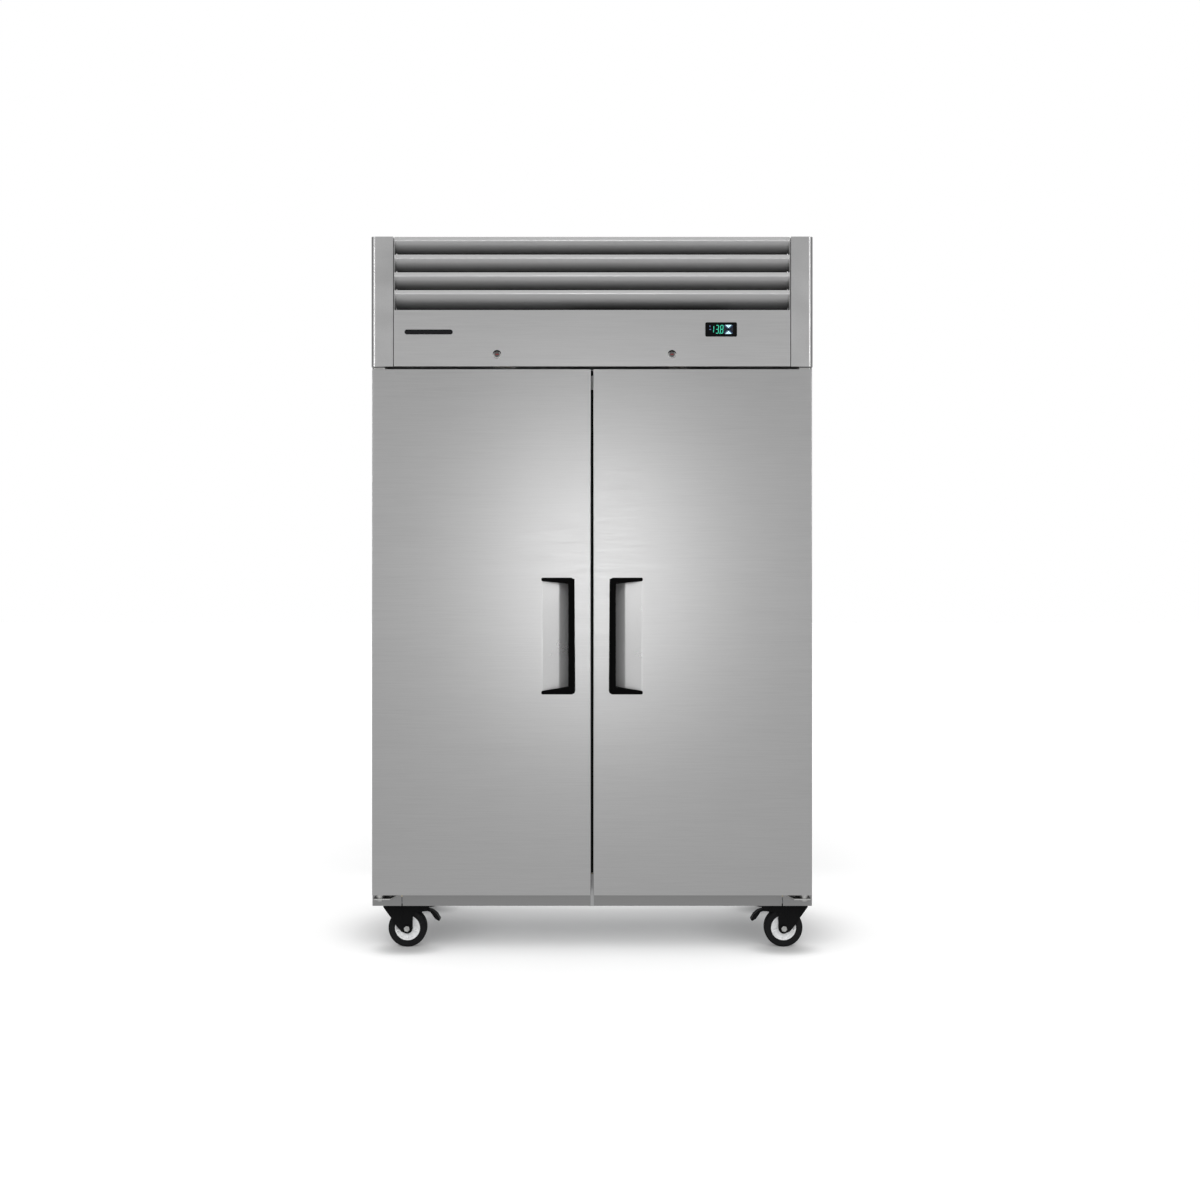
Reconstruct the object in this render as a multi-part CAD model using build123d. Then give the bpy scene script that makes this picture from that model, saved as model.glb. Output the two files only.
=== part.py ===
"""Two-door upright reach-in refrigerator on castors, with a top-mounted condensing unit.

Row frame: +X to the right of someone facing the doors, +Y towards the wall behind, +Z up.
The origin is on the floor under the middle of the cabinet. All sizes are in millimetres.
"""

import os

from build123d import *

# ---------------------------------------------------------------- driving dimensions
WIDTH = 1216.0            # over the side panels
HEADER_X = 601.0          # half width of the header in front of them
HEIGHT = 1958.5           # floor to the top of the header
FRONT_Y = -370.0          # outer face of the doors and of the header
TRIM_PROUD = 3.0          # how far handle frames stand out of the door face
BACK_Y = 373.6            # outer face of the back panel
CABINET_Y = -298.0        # front face of the insulated cabinet, behind the doors
SKIRT_Z = 124.5           # lowest edge of the cabinet panels
PAN_Z = 150.0             # underside of the insulation, top of the base pan
HEADER_Z = 1605.2         # underside of the header
DOOR_Z = (167.6, 1597.6)  # lower and upper edge of the doors
DOOR_X = (3.2, 598.2)     # free edge and hinge edge, from the centre line
DOOR_BACK_Y = -310.0      # inner face of the door shell
SHEET = 1.0               # outer sheet metal
SHELL_X = WIDTH / 2 - SHEET
CAVITY_X = 540.0          # half width of the storage space
CAVITY_Y = (-297.0, 311.0)
CAVITY_Z = (216.0, 1552.0)
MULLION_HALF = 35.0

PIVOT_X, PIVOT_Y = 580.0, -345.0     # door hinge axis
PIN_R, BUSH_CLEARANCE = 6.0, 0.06

HANDLE_Z = (713.9, 1031.1)           # lower and upper edge of the handle frame
HANDLE_X = (46.6, 137.8)             # bar side and open side, from the centre line
HANDLE_BAR = 17.9                    # width of the grip bar
HANDLE_DEPTH = 36.0

PANEL_X = 539.0                      # half width of the hinged service panel
FASCIA_TOP_Z = 1758.8
LOUVRES, LOUVRE_PITCH = 4, 48.3
PANEL_PIVOT = (-352.0, 1948.0)       # y and z of the service panel's hinge axis

CONTROLLER = (350.8, 1705.8)         # x and z of the controller's centre
CONTROLLER_SIZE = (86.0, 38.5)
LOCKS_X = {"left": -258.3, "right": 217.3}
LOCK_Z, PLUG_R = 1638.3, 7.5
CAM_LENGTH = 50.0

SHELF_Z = (427.0, 767.0, 1107.0)
SHELF_Y = (-250.0, 280.0)
SHELF_X = (8.0, 530.0)

WHEEL_R, WHEEL_WIDTH, RIM_R = 53.6, 32.0, 35.2
CASTOR_X = {"left": -543.0, "right": 561.0}
CASTOR_TRAIL = 26.0
CASTOR_Y = {"front": -236.0, "rear": 311.0}
CASTOR_PLATE_Z = (126.0, 129.0)
FORK_INNER, FORK_SHEET = 19.0, 2.5   # half gap between the legs, and their thickness
BRAKE_PIVOT = (36.5, 52.0)           # x and z from the axle, towards the trailing side

UNIT_TRAY_Z = HEADER_Z               # middle of the tray under the condensing unit
INLET_X, INLET_Z = (456.0, 484.0), (1653.0, 1673.0)
EVAPORATOR_FAN_X, EVAPORATOR_FAN_Y = 250.0, 110.0
EVAPORATOR_FAN_R = 80.0
EVAPORATOR_FLOOR_Z = 1423.0
COMPRESSOR_AT = (-360.0, 120.0)
CONDENSER_X, CONDENSER_Z = (-60.0, 380.0), (1620.0, 1900.0)
CONDENSER_Y = (-262.0, -202.0)
CONDENSER_FAN = (160.0, 1760.0)
CONDENSER_FAN_R = 118.0

os.makedirs("parts", exist_ok=True)


# ---------------------------------------------------------------- helpers
def block(x, y, z):
    """Box between two limits on each axis."""
    (x0, x1), (y0, y1), (z0, z1) = sorted(x), sorted(y), sorted(z)
    middle = Pos((x0 + x1) / 2, (y0 + y1) / 2, (z0 + z1) / 2)
    return middle * Box(x1 - x0, y1 - y0, z1 - z0)


def rod_x(radius, x, y, z):
    """Round bar along X."""
    return Pos((x[0] + x[1]) / 2, y, z) * Rot(0, 90, 0) * Cylinder(radius, abs(x[1] - x[0]))


def rod_y(radius, x, y, z):
    """Round bar along Y."""
    return Pos(x, (y[0] + y[1]) / 2, z) * Rot(90, 0, 0) * Cylinder(radius, abs(y[1] - y[0]))


def rod_z(radius, x, y, z):
    """Round bar along Z."""
    return Pos(x, y, (z[0] + z[1]) / 2) * Cylinder(radius, abs(z[1] - z[0]))


def prism_x(points, x):
    """Outline of (y, z) points run along X."""
    face = make_face(Polyline(*[(x[0], y, z) for y, z in points], close=True))
    return extrude(face, amount=x[1] - x[0], dir=(1, 0, 0))


def prism_y(points, y):
    """Outline of (x, z) points run along Y."""
    face = make_face(Polyline(*[(x, y[0], z) for x, z in points], close=True))
    return extrude(face, amount=y[1] - y[0], dir=(0, 1, 0))


def prism_z(points, z):
    """Outline of (x, y) points run along Z."""
    face = make_face(Polyline(*[(x, y, z[0]) for x, y in points], close=True))
    return extrude(face, amount=z[1] - z[0], dir=(0, 0, 1))


def mirrored(shape):
    """The same piece on the other side of the cabinet."""
    return mirror(shape, about=Plane.YZ)


def edges_along(shape, axis, where):
    """Edges parallel to an axis whose centre passes a test."""
    return [e for e in shape.edges().filter_by(axis) if where(e.center())]


def save(node, *shapes):
    """Write one node, each of its separate solids kept apart."""
    solids = [s for shape in shapes for s in shape.solids()]
    whole = solids[0] if len(solids) == 1 else Compound(children=solids)
    export_step(whole, f"parts/{node}.step")


# ---------------------------------------------------------------- cabinet
def side_panel():
    """Left side sheet, and the hollow pillar in front of it that makes the header's corner."""
    x, outer, inner = -WIDTH / 2, -HEADER_X, -541.0
    corner_r = 12.0
    sheet = block((x, x + SHEET), (CABINET_Y, BACK_Y), (SKIRT_Z, HEIGHT))
    pillar = block((outer, inner), (FRONT_Y, CABINET_Y), (HEADER_Z, HEIGHT))
    pillar = fillet(edges_along(pillar, Axis.Z, lambda c: c.X < outer + 1 and c.Y < FRONT_Y + 1), corner_r)
    hollow = block((outer + SHEET, inner - SHEET), (FRONT_Y + SHEET, CABINET_Y - SHEET),
                   (HEADER_Z + SHEET, HEIGHT - SHEET))
    hollow = fillet(
        edges_along(hollow, Axis.Z, lambda c: c.X < outer + 2 and c.Y < FRONT_Y + 2), corner_r - SHEET)
    window = block((inner - 2, inner + 1), (FRONT_Y + 40, CABINET_Y - 8), (HEADER_Z + 12, HEIGHT - 12))
    stud_hole = rod_x(4.1, (inner - 4, inner + 2), *PANEL_PIVOT)
    rim = block((-SHELL_X, inner), (CABINET_Y, CABINET_Y + SHEET), (HEADER_Z + SHEET + 0.1, HEIGHT))
    return sheet, pillar - hollow - window - stud_hole + rim


def back_panel():
    """Rear sheet, slotted behind the condensing unit and cut out for the mains inlet."""
    sheet = block((-SHELL_X, SHELL_X), (BACK_Y - SHEET, BACK_Y), (SKIRT_Z, HEIGHT))
    slots = [
        block((x, x + 60), (BACK_Y - 3, BACK_Y + 2), (z, z + 6))
        for x in range(-500, 301, 80) for z in range(1788, 1909, 20)
    ]
    return sheet - slots - block((*INLET_X,), (BACK_Y - 3, BACK_Y + 2), (*INLET_Z,))


def base_frame():
    """Base pan, its skirts and the pads that take the castors."""
    x, skirt = SHELL_X, 1.5
    y, z = (CABINET_Y + SHEET, BACK_Y - SHEET), (SKIRT_Z, PAN_Z - 2)
    pieces = [
        block((-x, x), y, (PAN_Z - 2, PAN_Z)),
        block((-x, skirt - x), y, z),
        block((x - skirt, x), y, z),
        block((skirt - x, x - skirt), (y[1] - skirt, y[1]), z),
    ]
    for x in CASTOR_X.values():
        for y in CASTOR_Y.values():
            pieces.append(block((x - 41, x + 41), (y - 52, y + 52), (CASTOR_PLATE_Z[1], PAN_Z - 2)))
    return pieces


def front_frame():
    """Face of the insulated cabinet and the rail under the doors."""
    stile_foot = 527.5
    y = (CABINET_Y, CABINET_Y + SHEET)
    rail_z = (SKIRT_Z, CAVITY_Z[0] - 3)
    stile = block((-SHELL_X, -CAVITY_X), y, (SKIRT_Z, HEADER_Z - 1)) + block((-CAVITY_X, -stile_foot), y, rail_z)
    rail = block((-stile_foot + 3, stile_foot - 3), y, rail_z)
    top = block((-CAVITY_X, CAVITY_X), y, (CAVITY_Z[1], HEADER_Z - 1))
    return stile, mirrored(stile), rail, top


def insulation():
    """Foam walls, floor, ceiling and back of the cabinet."""
    x, wall = SHELL_X, CAVITY_X + 1
    y0, y1 = CABINET_Y + 1, BACK_Y - 1
    z0, z1 = PAN_Z, HEADER_Z - 1
    return [
        block((-x, -wall), (y0, y1), (z0, z1)),
        block((wall, x), (y0, y1), (z0, z1)),
        block((-wall, wall), (y0, y1), (z0, CAVITY_Z[0] - 1)),
        block((-wall, wall), (y0, y1), (CAVITY_Z[1] + 1, z1)),
        block((-wall, wall), (CAVITY_Y[1] + 1, y1), (CAVITY_Z[0] - 1, CAVITY_Z[1] + 1)),
    ]


def inner_liner():
    """Coved stainless liner of the storage space."""
    outer = block((-CAVITY_X - 1, CAVITY_X + 1), (CAVITY_Y[0], CAVITY_Y[1] + 1),
                  (CAVITY_Z[0] - 1, CAVITY_Z[1] + 1))
    inner = block((-CAVITY_X, CAVITY_X), (CAVITY_Y[0] - 1, CAVITY_Y[1]), CAVITY_Z)
    return outer - inner


def mullion():
    """Post between the doors, and the strip that covers the rail's joint below it."""
    post = block((-MULLION_HALF, MULLION_HALF), (CABINET_Y, CABINET_Y + 30), CAVITY_Z)
    post = fillet(edges_along(post, Axis.Z, lambda c: True), 2.0)
    strip = block((-5.5, 5.5), (CABINET_Y - 3, CABINET_Y), (SKIRT_Z, CAVITY_Z[0] - 3))
    return post, chamfer(edges_along(strip, Axis.Z, lambda c: c.Y < CABINET_Y - 1), 1.0)


def shelf_supports():
    """Slotted strips in both bays and the clips that carry the shelves."""
    strip_z = (242.0, 1397.0)
    strips, clips = [], []

    def strip(x, y, along_x):
        half, deep = (9.0, 2.0) if along_x else (2.0, 9.0)
        piece = block((x - half, x + half), (y - deep, y + deep), strip_z)
        slots = []
        for i in range(44):
            z = strip_z[0] + 30 + 25 * i
            reach = (half / 2, 3) if along_x else (3, deep / 2)
            slots.append(block((x - reach[0], x + reach[0]), (y - reach[1], y + reach[1]), (z, z + 8)))
        strips.append(piece - slots)

    for side in (-1, 1):
        for y in (-205.0, 235.0):
            strip(side * (CAVITY_X - 2), y, False)
        strip(side * 21, CAVITY_Y[1] - 2, True)
        strip(side * 21, CABINET_Y + 32, True)
        for z in SHELF_Z:
            low = z - 10
            for y in (-205.0, 235.0):
                inner = side * (CAVITY_X - 4)
                arm = block((inner, inner - side * 16), (y - 8, y + 8), (low, low + 3))
                clips.append(arm + block((inner, inner - side * 2), (y - 8, y + 8), (low - 12, low + 3)))
            for y, toward in ((CAVITY_Y[1] - 4, -1), (CABINET_Y + 34, 1)):
                arm = block((side * 13, side * 29), (y, y + toward * 44), (low, low + 3))
                heel = block((side * 13, side * 29), (y, y + toward * 2), (low - 12, low + 3))
                clips.append(arm + heel)
    return strips + clips


def wire_shelf():
    """Welded wire shelf of the right bay at z = 0: a bent rim, two cross bars and close wires on top."""
    (x0, x1), (y0, y1) = SHELF_X, SHELF_Y
    rim_r, bar_r, wire_r, wires = 3.5, 3.0, 1.8, 20
    rim = FilletPolyline((x0, y0, -rim_r), (x1, y0, -rim_r), (x1, y1, -rim_r), (x0, y1, -rim_r),
                         radius=12, close=True)
    shelf = sweep(Plane(origin=rim @ 0, z_dir=rim % 0) * Circle(rim_r), path=rim)
    for y in (y0 / 3, y1 / 3):
        shelf += rod_x(bar_r, (x0, x1), y, -rim_r)
    pitch = (x1 - x0) / (wires + 1)
    for i in range(wires):
        shelf += rod_y(wire_r, x0 + pitch * (i + 1), (y0 - 1, y1 + 1), 0.4)
    return shelf


# ---------------------------------------------------------------- refrigeration
def finned_coil(x, y, z, fins, rows, tube_r):
    """Fin pack on straight tubes with return bends."""
    pitch = (x[1] - x[0] - 30) / (fins - 1)
    pack = [
        block((x[0] + 15 + pitch * i - 0.5, x[0] + 15 + pitch * i + 0.5), y, z) for i in range(fins)
    ]
    tubes = []
    step = (z[1] - z[0]) / rows
    for depth in (y[0] + (y[1] - y[0]) / 4, y[1] - (y[1] - y[0]) / 4):
        tubes += [rod_x(tube_r, x, depth, z[0] + step * (i + 0.5)) for i in range(rows)]
    ends = [block((x[0] + a, x[0] + a + 1.5), y, z) for a in (4.0, x[1] - x[0] - 5.5)]
    coil = tubes[0].fuse(*tubes[1:], *pack, *ends)
    return coil


def evaporator_cover():
    """Housing under the evaporator, with two fan openings and an outlet at the front."""
    x, y, z = (-490.0, 490.0), (10.0, 311.0), (EVAPORATOR_FLOOR_Z, CAVITY_Z[1])
    shell = block(x, y, z) - block((x[0] + 1.5, x[1] - 1.5), (y[0] + 1.5, y[1] + 1), (z[0] + 1.5, z[1] + 1))
    cuts = [block((px, px + 92), (y[0] - 1, y[0] + 3), (pz, pz + 9))
            for px in range(-460, 461 - 92, 104) for pz in (1457, 1477, 1497, 1517)]
    for side in (-1, 1):
        hole = rod_z(EVAPORATOR_FAN_R + 4, side * EVAPORATOR_FAN_X, EVAPORATOR_FAN_Y, (z[0] - 1, z[0] + 3))
        for ring_r in (68.0, 50.0, 32.0):
            at = (side * EVAPORATOR_FAN_X, EVAPORATOR_FAN_Y, (z[0] - 1, z[0] + 3))
            hole -= rod_z(ring_r + 1.5, *at) - rod_z(ring_r - 1.5, *at)
        cx, cy = side * EVAPORATOR_FAN_X, EVAPORATOR_FAN_Y
        hole -= block((cx - 90, cx + 90), (cy - 2, cy + 2), (z[0] - 1, z[0] + 3))
        hole -= block((cx - 2, cx + 2), (cy - 90, cy + 90), (z[0] - 1, z[0] + 3))
        hole -= rod_z(18.0, cx, cy, (z[0] - 1, z[0] + 3))
        cuts.append(hole)
    for cut in cuts:
        shell -= cut
    return shell


def fan_motors():
    """Two evaporator fan motors and the condenser fan motor, each with its shaft."""
    motors, z = [], EVAPORATOR_FLOOR_Z
    for side in (-1, 1):
        cx = side * EVAPORATOR_FAN_X
        body = rod_z(34.0, cx, EVAPORATOR_FAN_Y, (z + 44, z + 94))
        body = fillet(body.edges().filter_by(GeomType.CIRCLE), 4.0)
        shaft = rod_z(4.0, cx, EVAPORATOR_FAN_Y, (z + 15, z + 44))
        foot = block((cx - 100, cx + 100), (EVAPORATOR_FAN_Y - 10, EVAPORATOR_FAN_Y + 10), (z + 94, z + 127.5))
        motors.append(body + shaft + foot)
    x, z = CONDENSER_FAN
    body = fillet(rod_y(42.0, x, (-110.0, -50.0), z).edges().filter_by(GeomType.CIRCLE), 5.0)
    shaft = rod_y(4.0, x, (-139.0, -110.0), z)
    stand = block((x - 30, x + 30), (-90.0, -70.0), (UNIT_TRAY_Z + 2, z - 30))
    motors.append(body + shaft + stand)
    return motors


def axial_fan(hub_r, tip_r, depth, blades, bore_r):
    """Fan about +Z with swept blades, its back at z = 0."""
    hub = Cylinder(hub_r, depth, align=(Align.CENTER, Align.CENTER, Align.MIN))
    fan = fillet(hub.edges().filter_by(GeomType.CIRCLE), 2.5)
    for i in range(blades):
        blade = Pos((hub_r + tip_r) / 2 - 1, 0, depth / 2) * Rot(28, 0, 0)
        paddle = Box(tip_r - hub_r + 2, tip_r * 0.62, 1.6)
        paddle = fillet(paddle.edges().filter_by(Axis.Z), tip_r * 0.14)
        fan += Rot(0, 0, 360 / blades * i) * blade * paddle
    return fan - Pos(0, 0, -1) * Cylinder(bore_r, depth * 0.7 + 1, align=(Align.CENTER, Align.CENTER, Align.MIN))


def compressor():
    """Hermetic compressor on three feet, with its terminal box and stubs."""
    (cx, cy), z0 = COMPRESSOR_AT, UNIT_TRAY_Z + 1
    shell = Pos(cx, cy, z0 + 96) * Cylinder(86.0, 160.0)
    shell = fillet(shell.edges().filter_by(GeomType.CIRCLE).sort_by(Axis.Z)[-1:], 60.0)
    shell = fillet(shell.edges().filter_by(GeomType.CIRCLE).sort_by(Axis.Z)[:1], 26.0)
    seam = Pos(cx, cy, z0 + 84) * Cylinder(90.0, 7.0)
    feet = block((cx - 105, cx + 105), (cy - 62, cy + 62), (z0 + 12, z0 + 18))
    feet = fillet(feet.edges().filter_by(Axis.Z), 20.0)
    pads = [Pos(cx + dx, cy + dy, z0 + 6) * Cylinder(11.0, 12.0) for dx in (-90, 90) for dy in (-48, 48)]
    terminal = block((cx + 78, cx + 118), (cy - 34, cy + 34), (z0 + 60, z0 + 140))
    terminal = fillet(terminal.edges(), 5.0)
    return [shell + seam + feet + terminal, *pads]


def unit_frame():
    """Tray on top of the cabinet, and the condenser's fan shroud."""
    tray = block((-SHELL_X, SHELL_X), (CABINET_Y, BACK_Y - 1), (UNIT_TRAY_Z - 1, UNIT_TRAY_Z + 1))
    (x0, x1), (z0, z1) = CONDENSER_X, CONDENSER_Z
    y = CONDENSER_Y[1] + 0.5
    shroud = block((x0, x1), (y, y + 45), (UNIT_TRAY_Z + 1, z1))
    shroud -= block((x0 + 1.5, x1 - 1.5), (y - 1, y + 43.5), (UNIT_TRAY_Z + 2.5, z1 - 1.5))
    x, z = CONDENSER_FAN
    shroud -= rod_y(CONDENSER_FAN_R + 6, x, (y + 40, y + 50), z)
    for ring_r in (110.0, 85.0, 60.0, 35.0):
        ring = rod_y(ring_r + 1.5, x, (y + 42, y + 45), z) - rod_y(ring_r - 1.5, x, (y + 42, y + 45), z)
        shroud += ring
    for angle in range(0, 180, 45):
        spoke = block((-CONDENSER_FAN_R - 8, CONDENSER_FAN_R + 8), (y + 42, y + 45), (-1.5, 1.5))
        shroud += Pos(x, 0, z) * Rot(0, angle, 0) * spoke
    shroud -= rod_y(14.0, x, (y + 40, y + 50), z)
    return tray, shroud


def pipe(points, radius, tube_r):
    """Copper tube along straight runs joined by round bends."""
    path = FilletPolyline(*points, radius=radius)
    start = Plane(origin=path @ 0, z_dir=path % 0)
    return sweep(start * Circle(tube_r), path=path)


def refrigerant_pipes():
    """Discharge, liquid and suction lines, and the filter drier."""
    z, coil_x = UNIT_TRAY_Z + 1, CONDENSER_X[0]
    (front, back), (low, high) = CONDENSER_Y, CONDENSER_Z
    first, last = (front + 15, high - 17.5), (back - 15, low + 17.5)
    cx, cy, out = COMPRESSOR_AT[0], COMPRESSOR_AT[1] - 86, z + 100
    discharge = pipe([(cx, cy, out), (cx, first[0], out), (cx, first[0], first[1]), (coil_x, *first)], 24, 4.0)
    liquid = pipe([(coil_x, *last), (-130, *last), (-130, 40, last[1])], 20, 4.0)
    drier = fillet(rod_y(13.0, -130, (40, 140), last[1]).edges().filter_by(GeomType.CIRCLE), 6.0)
    outlet = pipe([(-130, 140, last[1]), (-130, 230, last[1]), (-130, 230, z)], 16, 4.0)
    back_y = COMPRESSOR_AT[1] + 86
    suction = pipe([(cx, back_y, z + 110), (cx, 300, z + 110), (-60, 300, z + 110), (-60, 300, z)], 26, 6.0)
    return discharge, liquid, drier, outlet, suction


def electrical_box():
    """Control box on the back panel, with the mains inlet in its rear face."""
    box = block((400, 560), (262, BACK_Y - 1), (UNIT_TRAY_Z + 1, UNIT_TRAY_Z + 122))
    box = fillet(box.edges().filter_by(Axis.Z), 4.0)
    box -= block((INLET_X[0] + 2, INLET_X[1] - 2), (350, BACK_Y), (INLET_Z[0] + 2, INLET_Z[1] - 2))
    pins = [block((470 + dx - 1, 470 + dx + 1), (350, 364), (INLET_Z[0] + 7, INLET_Z[1] - 7)) for dx in (-7, 0, 7)]
    return [box, *pins]


# ---------------------------------------------------------------- hinges
def hinge_bracket(front_x, z, washer_z):
    """Left hinge plate, wide at the cabinet and narrower in front of its pin."""
    front_y = PIVOT_Y - 12
    arm = prism_z([(-597, CABINET_Y), (-536, CABINET_Y), (front_x, front_y), (-597, front_y)], z)
    arm = fillet(edges_along(arm, Axis.Z, lambda c: c.Y < front_y + 1), 5.0)
    arm += rod_z(9.0, -PIVOT_X, PIVOT_Y, washer_z)
    return arm - rod_z(PIN_R, -PIVOT_X, PIVOT_Y, (z[0] - 20, z[1] + 20))


def hinges():
    """Upper and lower brackets on both sides, with their pins."""
    low, top = DOOR_Z
    upper = hinge_bracket(-566, (top + 2.2, top + 6.4), (top + 0.3, top + 3))
    lower = hinge_bracket(-551, (low - 15.5, low - 12), (low - 13, low - 0.3))
    upper_pin = rod_z(PIN_R, -PIVOT_X, PIVOT_Y, (top - 21, top + 6.9))
    lower_pin = rod_z(PIN_R, -PIVOT_X, PIVOT_Y, (low - 15.5, low + 21))
    lower_pin += rod_z(9.0, -PIVOT_X, PIVOT_Y, (low - 20, low - 15.5))
    brackets = [upper, lower, mirrored(upper), mirrored(lower)]
    pins = [upper_pin, lower_pin, mirrored(upper_pin), mirrored(lower_pin)]
    return brackets, pins


# ---------------------------------------------------------------- doors
def handle_shapes():
    """Left door: the moulded handle frame, its steel plate, and the pocket cut in the door."""
    bar, open_side = -HANDLE_X[0], -HANDLE_X[1]
    bar_inner = bar - HANDLE_BAR
    z0, z1 = HANDLE_Z
    face, floor = FRONT_Y, FRONT_Y + HANDLE_DEPTH
    arm, thick, lean = 8.6, 1.4, 1.1
    mouth = [(open_side - 5, z0 + arm), (bar_inner, z0 + 20), (bar_inner, z1 - 15.9), (open_side - 5, z1 - arm)]
    below = [(open_side - 5, z0 + arm), (bar, z0 + 22.5), (bar, z1 - 17.2), (open_side - 5, z1 - arm)]
    floor_line = FilletPolyline((open_side + 2, face + thick), (open_side + 47, face + 19), (bar_inner + 4, floor),
                                (bar - 5, floor), radius=12)
    closing = Polyline((bar - 5, floor), (bar - 5, face + 3.5), (bar_inner, face + 3.5), (bar_inner, face - 5),
                       (open_side + 2, face - 5), (open_side + 2, face + thick))
    void = extrude(Pos(0, 0, z0) * make_face(Wire([*floor_line.edges(), *closing.edges()])), amount=z1 - z0)
    void &= prism_y(below, (face - 6, floor + 1))
    tub = prism_z([(open_side + 2, face), (open_side + 45, face + 22), (bar_inner + 1, floor + 3),
                   (bar - 1, floor + 3), (bar - 1, face)], (z0 + 3, z1 - 3))
    flange = prism_y([(open_side, z0), (bar + lean, z0), (bar - lean, z1), (open_side, z1)],
                     (face - TRIM_PROUD, face))
    flange = fillet(edges_along(flange, Axis.Y, lambda c: c.X > bar - 5), 11.5)
    flange -= prism_y(mouth, (face - 4, face + 0.5))
    flange = fillet(edges_along(flange, Axis.Y, lambda c: c.X < open_side + 1), 3.6)
    front_line = Pos(0, -thick, 0) * floor_line
    ends = [Line(front_line @ 0, floor_line @ 0), Line(front_line @ 1, floor_line @ 1)]
    sheet = make_face(Wire([*floor_line.edges(), *front_line.edges(), *ends[0].edges(), *ends[1].edges()]))
    plate = extrude(Pos(0, 0, z0) * sheet, amount=z1 - z0)
    plate += block((open_side + 0.6, open_side + 3.4), (face - 0.8, face + thick), (z0, z1))
    plate &= prism_y([(x, z + 0.3 if z < 900 else z - 0.3) for x, z in below], (face - 6, floor + 1))
    frame = (tub + flange) - void - plate
    return frame, plate, tub + plate


def lock_slot():
    """Pockets in the doors' upper edges for the lock cams, each on its own door."""
    z = (DOOR_Z[1] - 16, DOOR_Z[1] + 1)
    return {side: block((x - 9, x + 41), (-354, -334), z) for side, x in LOCKS_X.items()}


def door(side):
    """All the pieces of one door, as node name to list of solids."""
    free, hinge = -DOOR_X[0], -DOOR_X[1]
    z0, z1 = DOOR_Z
    shell = block((hinge, free), (FRONT_Y, DOOR_BACK_Y - 2), DOOR_Z)
    shell = fillet(edges_along(shell, Axis.Z, lambda c: c.Y < FRONT_Y + 1), 2.5)
    core = block((hinge + 1, free - 1), (FRONT_Y + 1, DOOR_BACK_Y - 2), (z0 + 1, z1 - 1))
    skin = shell - block((hinge + 1, free - 1), (FRONT_Y + 1, DOOR_BACK_Y), (z0 + 1, z1 - 1))
    frame, plate, pocket = handle_shapes()
    bushes = [rod_z(10.0, -PIVOT_X, PIVOT_Y, (z1 - 20, z1)), rod_z(10.0, -PIVOT_X, PIVOT_Y, (z0, z0 + 20))]
    pin_holes = [rod_z(PIN_R + BUSH_CLEARANCE, -PIVOT_X, PIVOT_Y, (z1 - 23, z1 + 1)),
                 rod_z(PIN_R + BUSH_CLEARANCE, -PIVOT_X, PIVOT_Y, (z0 - 1, z0 + 23))]
    raised = block((hinge + 42, free - 34), (DOOR_BACK_Y - 2, DOOR_BACK_Y + 8), (z0 + 40, z1 - 40))
    raised = fillet(raised.edges().filter_by(Axis.Y), 16.0)
    raised = fillet(raised.faces().sort_by(Axis.Y)[-1].edges(), 6.0)
    liner = block((hinge + 0.5, free - 0.5), (DOOR_BACK_Y - 2, DOOR_BACK_Y), (z0 + 0.5, z1 - 0.5)) + raised
    well = block((hinge + 44, free - 36), (DOOR_BACK_Y - 2, DOOR_BACK_Y + 6), (z0 + 42, z1 - 42))
    well = fillet(well.edges().filter_by(Axis.Y), 14.0)
    liner -= well
    core += well
    pieces = {
        "door_skin": [skin - pocket - bushes - pin_holes],
        "door_core": [core - pocket - bushes - pin_holes],
        "door_liner": [liner],
        "handle_frame": [frame],
        "handle_plate": [plate],
        "hinge_bushes": [b - h for b, h in zip(bushes, pin_holes)],
        "door_gasket": door_gasket(hinge + 19, free - 11, z0 + 16, z1 - 16),
    }
    if side == "right":
        pieces = {node: [mirrored(s) for s in solids] for node, solids in pieces.items()}
    slot = lock_slot()[side]
    for node in ("door_skin", "door_core"):
        pieces[node] = [s - slot for s in pieces[node]]
    return pieces


def door_gasket(x0, x1, z0, z1):
    """Four mitred lengths of magnetic seal."""
    w = 14.0
    y = (DOOR_BACK_Y, CABINET_Y - 0.3)
    corners = [(x0, z0), (x1, z0), (x1, z1), (x0, z1)]
    inner = [(x0 + w, z0 + w), (x1 - w, z0 + w), (x1 - w, z1 - w), (x0 + w, z1 - w)]
    lengths = []
    for i in range(4):
        j = (i + 1) % 4
        lengths.append(prism_y([corners[i], corners[j], inner[j], inner[i]], y))
    return lengths


# ---------------------------------------------------------------- header
def louvre(top, sweep):
    """One blade: an upright flange, a round nose and a face that runs back and down."""
    t = 1.4
    y0 = FRONT_Y + 2.0
    path = Line((y0 + 2, top), (y0 + 2, top - 7.5))
    nose = JernArc(start=path @ 1, tangent=path % 1, radius=7, arc_size=38)
    face = JernArc(start=nose @ 1, tangent=nose % 1, radius=90, arc_size=sweep)
    wire = Wire([path, nose, face])
    outline = offset(wire, amount=t, side=Side.RIGHT, closed=True)
    flat = make_face(outline)
    half = PANEL_X - 1.6
    placed = Plane(origin=(-half, 0, 0), x_dir=(0, 1, 0), z_dir=(1, 0, 0)) * flat
    return extrude(placed, amount=2 * half, dir=(1, 0, 0))


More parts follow.
